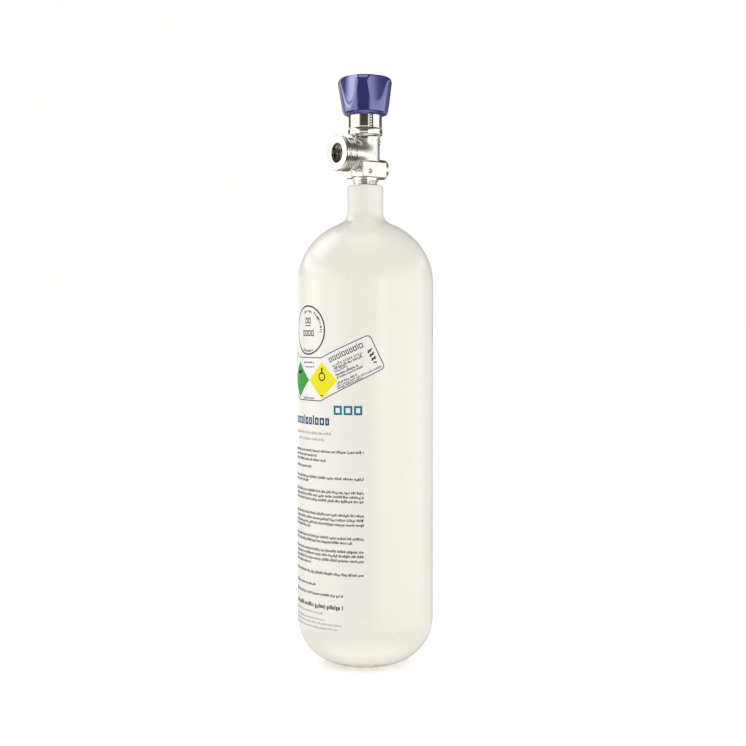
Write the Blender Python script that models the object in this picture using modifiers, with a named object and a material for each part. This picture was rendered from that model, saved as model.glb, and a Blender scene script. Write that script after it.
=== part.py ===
"""Small medical oxygen cylinder: a two-litre seamless steel bottle with a hand-operated valve.

The frame is metres with +Z up. The origin is the lowest point of the bottle, on its axis.
The valve's side outlet and the printed labels face -Y.
"""

import math

import bmesh
import bpy
from mathutils import Vector

MM = 0.001
GAP = 0.3 * MM  # play left between pieces that touch on the real valve

# Bottle
WALL_RADIUS = 50 * MM
WALL_THICKNESS = 3.3 * MM
FLAT_RADIUS = 16 * MM
BASE_HEIGHT = 34 * MM
BASE_THICKNESS = 5 * MM
SHOULDER_START = 280 * MM
SHOULDER_HEIGHT = 46.8 * MM
SHOULDER_INSET = 2 * MM
SHOULDER_THICKNESS = 5.8 * MM
NECK_RADIUS = 13.2 * MM
NECK_TOP = 352 * MM
NECK_LIP = 1.6 * MM
NECK_FILLET = 8 * MM

# Tapered inlet thread, sealed in the neck with tape
STEM_TOP = 356 * MM
STEM_BOTTOM = 326 * MM
STEM_TOP_RADIUS = 9 * MM
STEM_TAPER = 0.06
STEM_COLLAR_RADIUS = 9.6 * MM
TAPE_THICKNESS = 0.3 * MM
TAPE_TOP = 350.5 * MM
TAPE_BOTTOM = 329 * MM

# Valve body
BLOCK_BOTTOM = 357.3 * MM
BLOCK_TOP = 369 * MM
BLOCK_HALF_WIDTH = 11.3 * MM
BLOCK_FRONT = -10.1 * MM
BLOCK_BACK = 11.5 * MM
BACK_BOSS_RADIUS = 7.3 * MM
BACK_BOSS_Z = 364.5 * MM
BACK_BOSS_END = 17 * MM
COLUMN_RADIUS = 10.6 * MM
COLLAR_RADIUS = 12.6 * MM
COLLAR_BOTTOM = 388.9 * MM
COLLAR_TOP = 393 * MM
LOCK_SCREW_Z = 384 * MM
LOCK_SCREW_RADIUS = 2.4 * MM
LOCK_SCREW_END = 13.3 * MM
LOCK_SCREW_POCKET = 9.4 * MM

# Side outlet
OUTLET_Z = 374.5 * MM
OUTLET_FACE = 25.1 * MM
OUTLET_THREAD_RADIUS = 13.2 * MM
OUTLET_THREAD_START = 14.5 * MM
OUTLET_BOSS_RADIUS = 10.2 * MM
OUTLET_BORE_RADIUS = 7.35 * MM
OUTLET_SEAT = 11 * MM
PASSAGE_RADIUS = 2 * MM

# Shut-off chamber
INLET_SOCKET_RADIUS = 3.5 * MM
INLET_SOCKET_TOP = 333 * MM
CHAMBER_FLOOR = 368 * MM
CHAMBER_RADIUS = 6 * MM
SEAT_TOP = 369.5 * MM
SEAT_RADIUS = 2.8 * MM
BONNET_BORE_BOTTOM = 386 * MM
BONNET_BORE_RADIUS = 8.6 * MM

# Bonnet, which screws into the collar and guides the spindle
BONNET_RADIUS = 12.2 * MM
BONNET_TOP = 409 * MM
BONNET_FOOT = 387.6 * MM
BONNET_RECESS_TOP = 392 * MM
SPINDLE_BORE_RADIUS = 3.8 * MM
SEAL_GROOVE_RADIUS = 5.2 * MM
SEAL_GROOVE_HEIGHT = 2.2 * MM
GASKET_INNER_RADIUS = 6.5 * MM
GASKET_OUTER_RADIUS = 8.2 * MM
SPINDLE_SEAL_LEVELS = {"spindle_seal_lower": 397.5 * MM, "spindle_seal_upper": 403.5 * MM}

# Spindle and shut-off plug
SPINDLE_RADIUS = 3.5 * MM
FLANGE_RADIUS = 5.8 * MM
FLANGE_BOTTOM = 388.8 * MM
FLANGE_TOP = 390.6 * MM
SQUARE_HALF_WIDTH = 2.4 * MM
SQUARE_BOTTOM = 410.6 * MM
SQUARE_TOP = 420.4 * MM
SPINDLE_THREAD_RADIUS = 2 * MM
SPINDLE_TOP = 426.6 * MM
TANG_THICKNESS = 2 * MM
TANG_WIDTH = 7 * MM
TANG_BOTTOM = 382.9 * MM
PLUG_RADIUS = 5.7 * MM
PLUG_TOP = 385.3 * MM
PLUG_THREAD_BOTTOM = 376.8 * MM
PLUG_NOSE_RADIUS = 4.2 * MM
PLUG_BOTTOM = 370.4 * MM
PLUG_SLOT_BOTTOM = 379.6 * MM
INSERT_POCKET_RADIUS = 3.2 * MM
INSERT_POCKET_TOP = 372.9 * MM

# Handwheel
WHEEL_TOP = 432.2 * MM
WHEEL_RADIUS = 20.05 * MM
WHEEL_WIDEST = 426.3 * MM
WHEEL_CORNER_WIDTH = 5.05 * MM
WHEEL_CORNER_HEIGHT = 4.9 * MM
WHEEL_BOTTOM_RADIUS = 16.6 * MM
WHEEL_BOTTOM_EDGE = 405.2 * MM
WHEEL_FOOT = 403.2 * MM
WHEEL_FOOT_RADIUS = 13.7 * MM
WHEEL_RECESS_RADIUS = 12.75 * MM
WHEEL_RECESS_TOP = 410.6 * MM
WHEEL_HUB_RADIUS = 6.3 * MM
WHEEL_POCKET_BOTTOM = 421 * MM
WHEEL_POCKET_RADIUS = 7.6 * MM
WHEEL_CAP_SEAT = 429 * MM
WHEEL_CAP_RADIUS = 9.3 * MM
SCOOP_COUNT = 5
SCOOP_RADIUS = 16 * MM
SCOOP_FOOT = 410 * MM
SCOOP_FOOT_REACH = 17.2 * MM
SCOOP_LEAN = math.radians(4)
FIRST_RIB = math.radians(-41)

# Residual pressure valve inside the outlet, measured outwards along the outlet axis
PISTON_FACE = 12.6 * MM
PISTON_FLANGE_RADIUS = 5.2 * MM
PISTON_FLANGE_END = 14 * MM
PISTON_STEM_RADIUS = 2.9 * MM
PISTON_END = 20 * MM
RETAINER_START = 17.8 * MM
RETAINER_END = 20.4 * MM

# Labels, rolled onto the wall. Widths run along the wall from the front line, s = 0.
LABEL_STAND_OFF = 0.35 * MM
LABEL_THICKNESS = 0.2 * MM
LABEL_COLUMN = math.radians(5)
STAMP_RADIUS = 18 * MM
STAMP_Z = 246 * MM
INFO_HALF_WIDTH = 50 * MM
INFO_BOTTOM = 30 * MM
INFO_TOP = 193.8 * MM
HAZARD_MIDDLE_HALF_WIDTH = 14 * MM
HAZARD_MIDDLE_TOP = 226.7 * MM
HAZARD_MIDDLE_BOTTOM = 195.3 * MM
HAZARD_WING_TOP = (51 * MM, 243.5 * MM)
HAZARD_WING_BOTTOM = (62.5 * MM, 219.5 * MM)

ALONG_OUTLET = (math.pi / 2, 0, 0)  # turns a piece's own Z axis to -Y


def clear_scene():
    for thing in list(bpy.data.objects):
        bpy.data.objects.remove(thing, do_unlink=True)


def new_collection(name):
    collection = bpy.data.collections.new(name)
    bpy.context.scene.collection.children.link(collection)
    return collection


def material(name, colour, roughness, metallic=0.0):
    """A plain painted, plastic or metal surface."""
    surface = bpy.data.materials.new(name)
    surface.use_nodes = True
    shader = surface.node_tree.nodes["Principled BSDF"]
    shader.inputs["Base Color"].default_value = (*colour, 1)
    shader.inputs["Roughness"].default_value = roughness
    shader.inputs["Metallic"].default_value = metallic
    return surface


def place(name, mesh, surface, collection, location=(0, 0, 0), rotation=(0, 0, 0)):
    """Adds a mesh to the scene as a named object with its surface and its place."""
    thing = bpy.data.objects.new(name, mesh)
    thing.location = location
    thing.rotation_euler = rotation
    if surface:
        mesh.materials.append(surface)
    collection.objects.link(thing)
    return thing


def as_cutter(thing):
    thing.hide_render = True
    thing.display_type = "WIRE"
    return thing


def turned(name, profile, surface, collection, steps=24, closed=False, **where):
    """A turned piece: the profile of (radius, height) points runs down its outer side."""
    mesh = bpy.data.meshes.new(name)
    last = len(profile) if closed else len(profile) - 1
    edges = [(i, (i + 1) % len(profile)) for i in range(last)]
    mesh.from_pydata([(radius, 0, height) for radius, height in profile], edges, [])
    thing = place(name, mesh, surface, collection, **where)
    screw = thing.modifiers.new("Turn", "SCREW")
    screw.steps = steps
    screw.render_steps = steps
    screw.use_merge_vertices = True
    screw.merge_threshold = 0.00001
    screw.use_smooth_shade = True
    return thing


def tube_profile(inner, outer, bottom, top):
    """The closed outline of a ring with square edges."""
    return [(inner, top), (outer, top), (outer, bottom), (inner, bottom)]


def rod_profile(radius, bottom, top):
    return [(0, top), (radius, top), (radius, bottom), (0, bottom)]


def ring_seal(name, middle, thickness, surface, collection, location, rotation=(0, 0, 0)):
    """An O-ring lying across its own Z axis."""
    bpy.ops.mesh.primitive_torus_add(
        major_radius=middle,
        minor_radius=thickness / 2,
        major_segments=20,
        minor_segments=8,
        location=location,
        rotation=rotation,
    )
    thing = bpy.context.active_object
    thing.name = name
    thing.data.materials.append(surface)
    thing.data.shade_smooth()
    for owner in list(thing.users_collection):
        owner.objects.unlink(thing)
    collection.objects.link(thing)
    return thing


def box(name, low, high, surface, collection, bevel=0.0):
    """A block between two corners, with its upright edges and rims bevelled."""
    mesh = bpy.data.meshes.new(name)
    shape = bmesh.new()
    bmesh.ops.create_cube(shape, size=1)
    size = Vector(high) - Vector(low)
    middle = (Vector(high) + Vector(low)) / 2
    bmesh.ops.scale(shape, vec=size, verts=shape.verts)
    bmesh.ops.translate(shape, vec=middle, verts=shape.verts)
    shape.to_mesh(mesh)
    shape.free()
    thing = place(name, mesh, surface, collection)
    if bevel:
        edge = thing.modifiers.new("Edges", "BEVEL")
        edge.width = bevel
        edge.segments = 1
        edge.limit_method = "ANGLE"
    return thing


def combine(thing, other, operation):
    step = thing.modifiers.new(other.name, "BOOLEAN")
    step.operation = operation
    step.object = other


def curve_arc(middle, across, up, start, end, count):
    """Points of an elliptical arc from start to end degrees, where 0 lies along +radius."""
    angles = [math.radians(start + (end - start) * i / count) for i in range(count + 1)]
    return [(middle[0] + across * math.cos(a), middle[1] + up * math.sin(a)) for a in angles]


def stem_radius(height):
    """Radius of the tapered inlet thread at a height."""
    return STEM_TOP_RADIUS - (STEM_TOP - height) * STEM_TAPER


# ---------------------------------------------------------------- bottle


def bottle_profile():
    """Inside from the middle of the base up to the neck, then outside down to the base again."""
    play = 2 * GAP + TAPE_THICKNESS
    base_middle = (FLAT_RADIUS, BASE_HEIGHT)
    shoulder_middle = (SHOULDER_INSET, SHOULDER_START)
    inner_radius = WALL_RADIUS - WALL_THICKNESS
    inner_base = curve_arc(
        base_middle,
        inner_radius - FLAT_RADIUS,
        BASE_HEIGHT - BASE_THICKNESS,
        -90,
        0,
        7,
    )
    inner_rise = SHOULDER_HEIGHT - SHOULDER_THICKNESS
    inner_shoulder = curve_arc(
        shoulder_middle, inner_radius - SHOULDER_INSET, inner_rise, 0, 78, 7
    )
    bore_foot = inner_shoulder[-1][1] + 1.5 * MM
    inner_neck = [
        (stem_radius(bore_foot) + play, bore_foot),
        (stem_radius(NECK_TOP) + play, NECK_TOP),
    ]
    lip_middle = (NECK_RADIUS - NECK_LIP, NECK_TOP - NECK_LIP)
    lip = curve_arc(lip_middle, NECK_LIP, NECK_LIP, 90, 0, 3)
    outer_shoulder = curve_arc(
        shoulder_middle, WALL_RADIUS - SHOULDER_INSET, SHOULDER_HEIGHT, 68, 0, 10
    )
    fillet_middle = (NECK_RADIUS + NECK_FILLET, outer_shoulder[0][1] + NECK_FILLET * 1.05)
    fillet = curve_arc(fillet_middle, NECK_FILLET, NECK_FILLET, 180, 236, 4)
    outer_base = curve_arc(
        base_middle, WALL_RADIUS - FLAT_RADIUS, BASE_HEIGHT, 0, -90, 10
    )
    return [
        (0, BASE_THICKNESS),
        *inner_base,
        *inner_shoulder,
        *inner_neck,
        *lip,
        *fillet,
        *outer_shoulder,
        *outer_base,
        (0, 0),
    ]


def make_bottle(parts, looks):
    turned("cylinder_shell", bottle_profile(), looks["paint"], parts, steps=40)


def make_inlet_pieces(parts, looks):
    """Sealing tape on the inlet thread, the tube that keeps dirt out of the valve and its filter."""
    tape = [
        (stem_radius(TAPE_TOP) + GAP, TAPE_TOP),
        (stem_radius(TAPE_TOP) + GAP + TAPE_THICKNESS, TAPE_TOP),
        (stem_radius(TAPE_BOTTOM) + GAP + TAPE_THICKNESS, TAPE_BOTTOM),
        (stem_radius(TAPE_BOTTOM) + GAP, TAPE_BOTTOM),
    ]
    turned("thread_seal_tape", tape, looks["ptfe"], parts, closed=True)
    tube_inner = 2.2 * MM
    tube_top = INLET_SOCKET_TOP - GAP
    tube_bottom = 287 * MM
    tube = tube_profile(tube_inner, INLET_SOCKET_RADIUS - GAP, tube_bottom, tube_top)
    turned("dip_tube", tube, looks["brass"], parts, steps=16, closed=True)
    filter_bottom = tube_bottom + 0.5 * MM
    filter_length = 11 * MM
    plug = rod_profile(tube_inner - GAP, filter_bottom, filter_bottom + filter_length)
    turned("inlet_filter", plug, looks["bronze"], parts, steps=16)


# ---------------------------------------------------------------- valve body


def make_valve_body(parts, cutters, looks):
    """Forged and turned body: inlet stem, wrench block, column with collar and side outlet."""
    outline = [
        (0, COLLAR_TOP),
        (COLLAR_RADIUS - 0.4 * MM, COLLAR_TOP),
        (COLLAR_RADIUS, COLLAR_TOP - 0.4 * MM),
        (COLLAR_RADIUS, COLLAR_BOTTOM),
        (COLUMN_RADIUS + 0.4 * MM, COLLAR_BOTTOM - 2 * MM),
        (COLUMN_RADIUS, COLLAR_BOTTOM - 3.2 * MM),
        (COLUMN_RADIUS, BLOCK_BOTTOM + 1 * MM),
        (STEM_COLLAR_RADIUS, BLOCK_BOTTOM - 0.6 * MM),
        (STEM_COLLAR_RADIUS, STEM_TOP - 0.6 * MM),
        (stem_radius(STEM_TOP - 1 * MM), STEM_TOP - 1 * MM),
        (stem_radius(STEM_BOTTOM + 1 * MM), STEM_BOTTOM + 1 * MM),
        (stem_radius(STEM_BOTTOM) - 0.8 * MM, STEM_BOTTOM),
        (0, STEM_BOTTOM),
    ]
    body = turned("valve_body", outline, looks["chrome"], parts, steps=32)

    block = box(
        "wrench_block",
        (-BLOCK_HALF_WIDTH, BLOCK_FRONT, BLOCK_BOTTOM),
        (BLOCK_HALF_WIDTH, BLOCK_BACK, BLOCK_TOP),
        None,
        cutters,
        bevel=0.9 * MM,
    )
    back_boss = turned(
        "back_boss",
        [
            (0, 0),
            (BACK_BOSS_RADIUS - 1 * MM, 0),
            (BACK_BOSS_RADIUS, -1 * MM),
            (BACK_BOSS_RADIUS, -BACK_BOSS_END),
            (0, -BACK_BOSS_END),
        ],
        None,
        cutters,
        steps=28,
        location=(0, BACK_BOSS_END, BACK_BOSS_Z),
        rotation=(-math.pi / 2, 0, 0),
    )
    relief = 0.8 * MM
    outlet = turned(
        "outlet_boss",
        [
            (0, OUTLET_FACE),
            (OUTLET_THREAD_RADIUS - 1.2 * MM, OUTLET_FACE),
            (OUTLET_THREAD_RADIUS, OUTLET_FACE - 0.9 * MM),
            (OUTLET_THREAD_RADIUS, OUTLET_THREAD_START + relief),
            (OUTLET_THREAD_RADIUS - relief, OUTLET_THREAD_START),
            (OUTLET_BOSS_RADIUS, OUTLET_THREAD_START),
            (OUTLET_BOSS_RADIUS, 0),
            (0, 0),
        ],
        None,
        cutters,
        steps=32,
        location=(0, 0, OUTLET_Z),
        rotation=ALONG_OUTLET,
    )
    for addition in (block, back_boss, outlet):
        combine(body, as_cutter(addition), "UNION")

    above = 5 * MM
    bore = turned(
        "chamber_bore",
        [
            (0, COLLAR_TOP + above),
            (BONNET_BORE_RADIUS, COLLAR_TOP + above),
            (BONNET_BORE_RADIUS, BONNET_BORE_BOTTOM),
            (CHAMBER_RADIUS, BONNET_BORE_BOTTOM),
            (CHAMBER_RADIUS, CHAMBER_FLOOR),
            (SEAT_RADIUS, CHAMBER_FLOOR),
            (SEAT_RADIUS, SEAT_TOP),
            (PASSAGE_RADIUS, SEAT_TOP),
            (PASSAGE_RADIUS, INLET_SOCKET_TOP),
            (INLET_SOCKET_RADIUS, INLET_SOCKET_TOP),
            (INLET_SOCKET_RADIUS, STEM_BOTTOM - above),
            (0, STEM_BOTTOM - above),
        ],
        None,
        cutters,
    )
    outlet_bore = turned(
        "outlet_bore",
        [
            (0, OUTLET_FACE + above),
            (OUTLET_BORE_RADIUS, OUTLET_FACE + above),
            (OUTLET_BORE_RADIUS, OUTLET_SEAT),
            (PASSAGE_RADIUS, OUTLET_SEAT),
            (PASSAGE_RADIUS, 1 * MM),
            (0, 1 * MM),
        ],
        None,
        cutters,
        steps=32,
        location=(0, 0, OUTLET_Z),
        rotation=ALONG_OUTLET,
    )
    for hole in (bore, outlet_bore):
        combine(body, as_cutter(hole), "DIFFERENCE")
    return body


def make_lock_screw(parts, looks, body, cutters):
    """Domed screw at the back of the column that keeps the bonnet from unscrewing."""
    pocket = turned(
        "lock_screw_pocket",
        rod_profile(LOCK_SCREW_RADIUS + GAP, LOCK_SCREW_POCKET, LOCK_SCREW_END + 2 * MM),
        None,
        cutters,
        steps=16,
        location=(0, 0, LOCK_SCREW_Z),
        rotation=(-math.pi / 2, 0, 0),
    )
    combine(body, as_cutter(pocket), "DIFFERENCE")
    outline = [
        (0, LOCK_SCREW_END),
        (LOCK_SCREW_RADIUS - 1 * MM, LOCK_SCREW_END - 0.2 * MM),
        (LOCK_SCREW_RADIUS, LOCK_SCREW_END - 1 * MM),
        (LOCK_SCREW_RADIUS, LOCK_SCREW_POCKET + GAP),
        (0, LOCK_SCREW_POCKET + GAP),
    ]
    turned(
        "bonnet_lock_screw",
        outline,
        looks["chrome"],
        parts,
        steps=16,
        location=(0, 0, LOCK_SCREW_Z),
        rotation=(-math.pi / 2, 0, 0),
    )


# ---------------------------------------------------------------- bonnet and its seals


def make_bonnet(parts, looks):
    """Polished bonnet with two seal grooves in its bore."""
    edge = 0.6 * MM
    foot_radius = BONNET_BORE_RADIUS - GAP
    recess_radius = FLANGE_RADIUS + 0.4 * MM
    rim = COLLAR_TOP + GAP
    grooves = []
    for level in sorted(SPINDLE_SEAL_LEVELS.values()):
        low = level - SEAL_GROOVE_HEIGHT / 2
        high = level + SEAL_GROOVE_HEIGHT / 2
        grooves += [
            (SPINDLE_BORE_RADIUS, low),
            (SEAL_GROOVE_RADIUS, low),
            (SEAL_GROOVE_RADIUS, high),
            (SPINDLE_BORE_RADIUS, high),
        ]
    outline = [
        (SPINDLE_BORE_RADIUS, BONNET_TOP),
        (BONNET_RADIUS - edge, BONNET_TOP),
        (BONNET_RADIUS, BONNET_TOP - edge),
        (BONNET_RADIUS, rim + edge),
        (BONNET_RADIUS - edge, rim),
        (foot_radius, rim),
        (foot_radius, BONNET_FOOT),
        (recess_radius, BONNET_FOOT),
        (recess_radius, BONNET_RECESS_TOP),
        (SPINDLE_BORE_RADIUS, BONNET_RECESS_TOP),
        *grooves,
    ]
    turned("bonnet", outline, looks["chrome"], parts, steps=32, closed=True)

    gasket_bottom = BONNET_BORE_BOTTOM + GAP
    gasket = tube_profile(
        GASKET_INNER_RADIUS, GASKET_OUTER_RADIUS, gasket_bottom, BONNET_FOOT - GAP
    )
    turned("bonnet_gasket", gasket, looks["copper"], parts, closed=True)

    washer_bottom = FLANGE_TOP + GAP
    washer_top = BONNET_RECESS_TOP - GAP
    washer_inner = SPINDLE_RADIUS + 0.4 * MM
    washer_outer = FLANGE_RADIUS - 0.1 * MM
    washer = tube_profile(washer_inner, washer_outer, washer_bottom, washer_top)
    turned("thrust_washer", washer, looks["ptfe"], parts, closed=True)

    seal_middle = (SPINDLE_RADIUS + SEAL_GROOVE_RADIUS) / 2
    seal_thickness = SEAL_GROOVE_RADIUS - SPINDLE_RADIUS - 2 * GAP
    for name, level in SPINDLE_SEAL_LEVELS.items():
        ring_seal(name, seal_middle, seal_thickness, looks["rubber"], parts, (0, 0, level))


# ---------------------------------------------------------------- spindle and plug


def make_spindle(parts, cutters, looks):
    """Upper spindle: tang below, thrust flange, round shank, square for the wheel, thread on top."""
    shank_top = SQUARE_BOTTOM - 1 * MM
    outline = [
        (0, SPINDLE_TOP),
        (SPINDLE_THREAD_RADIUS - 0.4 * MM, SPINDLE_TOP),
        (SPINDLE_THREAD_RADIUS, SPINDLE_TOP - 0.4 * MM),
        (SPINDLE_THREAD_RADIUS, shank_top),
        (SPINDLE_RADIUS, shank_top),
        (SPINDLE_RADIUS, FLANGE_TOP),
        (FLANGE_RADIUS, FLANGE_TOP),
        (FLANGE_RADIUS, FLANGE_BOTTOM),
        (0, FLANGE_BOTTOM),
    ]
    spindle = turned("upper_spindle", outline, looks["brass"], parts)
    square = box(
        "wheel_square",
        (-SQUARE_HALF_WIDTH, -SQUARE_HALF_WIDTH, SQUARE_BOTTOM - 1.5 * MM),
        (SQUARE_HALF_WIDTH, SQUARE_HALF_WIDTH, SQUARE_TOP),
        None,
        cutters,
        bevel=0.2 * MM,
    )
    tang = box(
        "drive_tang",
        (-TANG_THICKNESS / 2, -TANG_WIDTH / 2, TANG_BOTTOM),
        (TANG_THICKNESS / 2, TANG_WIDTH / 2, FLANGE_BOTTOM + 1 * MM),
        None,
        cutters,
    )
    for addition in (square, tang):
        combine(spindle, as_cutter(addition), "UNION")


def make_plug(parts, cutters, looks):
    """Shut-off plug: screws in the chamber, driven by the tang in its slot, with a soft insert."""
    outline = [
        (0, PLUG_TOP),
        (PLUG_RADIUS - 0.5 * MM, PLUG_TOP),
        (PLUG_RADIUS, PLUG_TOP - 0.5 * MM),
        (PLUG_RADIUS, PLUG_THREAD_BOTTOM),
        (PLUG_NOSE_RADIUS, PLUG_THREAD_BOTTOM - 0.8 * MM),
        (PLUG_NOSE_RADIUS, PLUG_BOTTOM),
        (INSERT_POCKET_RADIUS, PLUG_BOTTOM),
        (INSERT_POCKET_RADIUS, INSERT_POCKET_TOP),
        (0, INSERT_POCKET_TOP),
    ]
    plug = turned("shutoff_plug", outline, looks["brass"], parts)
    slot_half = TANG_THICKNESS / 2 + GAP
    slot = box(
        "plug_slot",
        (-slot_half, -2 * PLUG_RADIUS, PLUG_SLOT_BOTTOM),
        (slot_half, 2 * PLUG_RADIUS, PLUG_TOP + 2 * MM),
        None,
        cutters,
    )
    combine(plug, as_cutter(slot), "DIFFERENCE")
    insert = rod_profile(
        INSERT_POCKET_RADIUS - GAP, SEAT_TOP + GAP, INSERT_POCKET_TOP - GAP
    )
    turned("seat_insert", insert, looks["nylon"], parts, steps=20)


# ---------------------------------------------------------------- handwheel


def make_handwheel(parts, cutters, looks):
    """Tapered plastic wheel with five scoops, open below for the bonnet and above for its nut."""
    corner_middle = (WHEEL_RADIUS - WHEEL_CORNER_WIDTH, WHEEL_WIDEST)
    corner = curve_arc(corner_middle, WHEEL_CORNER_WIDTH, WHEEL_CORNER_HEIGHT, 78, 0, 4)
    outline = [
        (WHEEL_CAP_RADIUS, WHEEL_TOP - 0.2 * MM),
        *corner,
        (WHEEL_BOTTOM_RADIUS, WHEEL_BOTTOM_EDGE),
        (WHEEL_BOTTOM_RADIUS - 0.7 * MM, WHEEL_BOTTOM_EDGE - 1.1 * MM),
        (WHEEL_FOOT_RADIUS, WHEEL_FOOT),
        (WHEEL_RECESS_RADIUS, WHEEL_FOOT),
        (WHEEL_RECESS_RADIUS, WHEEL_RECESS_TOP),
        (WHEEL_HUB_RADIUS, WHEEL_RECESS_TOP),
        (WHEEL_HUB_RADIUS, WHEEL_POCKET_BOTTOM),
        (WHEEL_POCKET_RADIUS, WHEEL_POCKET_BOTTOM),
        (WHEEL_POCKET_RADIUS, WHEEL_CAP_SEAT),
        (WHEEL_CAP_RADIUS, WHEEL_CAP_SEAT),
    ]
    wheel = turned("handwheel", outline, looks["blue"], parts, steps=40, closed=True)
    length = 60 * MM
    for number in range(SCOOP_COUNT):
        turn = FIRST_RIB + (number + 0.5) * math.tau / SCOOP_COUNT
        middle = SCOOP_FOOT_REACH + SCOOP_RADIUS / math.cos(SCOOP_LEAN)
        scoop = turned(
            f"wheel_scoop_{number + 1}",
            rod_profile(SCOOP_RADIUS, -length / 2, length / 2),
            None,
            cutters,
            steps=48,
            location=(middle * math.cos(turn), middle * math.sin(turn), SCOOP_FOOT),
        )
        scoop.rotation_euler = (0, -SCOOP_LEAN, turn)
        combine(wheel, as_cutter(scoop), "DIFFERENCE")


def make_wheel_fittings(parts, cutters, looks):
    """Metal bush, spring washer and nut that hold the wheel on the spindle, its cap and slide ring."""
    bush_top = WHEEL_POCKET_BOTTOM - GAP
    bush_bottom = WHEEL_RECESS_TOP + GAP
    bush = turned(
        "wheel_bush",
        rod_profile(WHEEL_HUB_RADIUS - GAP, bush_bottom, bush_top),
        looks["brass"],
        parts,
    )
    half = SQUARE_HALF_WIDTH + GAP
    square_hole = box(
        "bush_square_hole",
        (-half, -half, bush_bottom - 2 * MM),
        (half, half, bush_top + 2 * MM),
        None,
        cutters,
    )
    combine(bush, as_cutter(square_hole), "DIFFERENCE")

    washer_hole = SPINDLE_THREAD_RADIUS + GAP
    washer_top = WHEEL_POCKET_BOTTOM + 0.9 * MM
    washer_radius = 4.6 * MM
    dish = 0.35 * MM
    spring_washer = [
        (washer_hole, washer_top),
        (washer_radius, washer_top - dish),
        (washer_radius, WHEEL_POCKET_BOTTOM),
        (washer_hole, WHEEL_POCKET_BOTTOM + dish),
    ]
    turned("wheel_spring_washer", spring_washer, looks["steel"], parts, closed=True)

    nut_across_corners = 8.08 * MM
    nut_bottom = washer_top + GAP
    nut_top = nut_bottom + 3.4 * MM
    nut = turned(
        "wheel_nut",
        rod_profile(nut_across_corners / 2, nut_bottom, nut_top),
        looks["steel"],
        parts,
        steps=6,
        rotation=(0, 0, math.radians(15)),
    )
    nut_hole = turned(
        "nut_hole",
        rod_profile(washer_hole, nut_bottom - 1 * MM, nut_top + 1 * MM),
        None,
        cutters,
    )
    combine(nut, as_cutter(nut_hole), "DIFFERENCE")

    cap_top = WHEEL_TOP - 0.3 * MM
    cap_radius = WHEEL_CAP_RADIUS - GAP
    cap = [
        (0, cap_top),
        (cap_radius - 0.6 * MM, cap_top - 0.2 * MM),
        (cap_radius, cap_top - 0.6 * MM),
        (cap_radius, WHEEL_CAP_SEAT + GAP),
        (0, WHEEL_CAP_SEAT + GAP),
    ]
    turned("wheel_cap", cap, looks["blue"], parts, steps=28)

    ring_inner = SPINDLE_RADIUS + 0.7 * MM
    ring_outer = 9 * MM
    ring_bottom = BONNET_TOP + GAP
    slide_ring = tube_profile(ring_inner, ring_outer, ring_bottom, WHEEL_RECESS_TOP - GAP)
    turned("wheel_slide_ring", slide_ring, looks["ptfe"], parts, closed=True)


# ---------------------------------------------------------------- residual pressure valve


def spring_wire(name, middle, wire, turns, start, end, surface, collection):
    """A coil spring along the outlet axis, made as a wire and then turned into a mesh."""
    path = bpy.data.curves.new(name, "CURVE")
    path.dimensions = "3D"
    path.bevel_depth = wire / 2
    path.bevel_resolution = 2
    path.use_fill_caps = True
    line = path.splines.new("POLY")
    points_per_turn = 14
    count = int(turns * points_per_turn)
    line.points.add(count)
    for i, point in enumerate(line.points):
        angle = math.tau * i / points_per_turn
        along = start + (end - start) * i / count
        point.co = (middle * math.cos(angle), middle * math.sin(angle), along, 1)
    wire_object = bpy.data.objects.new(name + "_path", path)
    wire_object.location = (0, 0, OUTLET_Z)
    wire_object.rotation_euler = ALONG_OUTLET
    collection.objects.link(wire_object)
    bpy.context.view_layer.update()
    graph = bpy.context.evaluated_depsgraph_get()
    mesh = bpy.data.meshes.new_from_object(wire_object.evaluated_get(graph))
    mesh.name = name
    shape = bmesh.new()
    shape.from_mesh(mesh)
    bmesh.ops.remove_doubles(shape, verts=shape.verts, dist=0.00001)
    shape.to_mesh(mesh)
    shape.free()
    mesh.shade_smooth()
    spring = place(name, mesh, surface, collection)
    spring.matrix_world = wire_object.matrix_world.copy()
    bpy.data.objects.remove(wire_object, do_unlink=True)
    return spring


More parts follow.
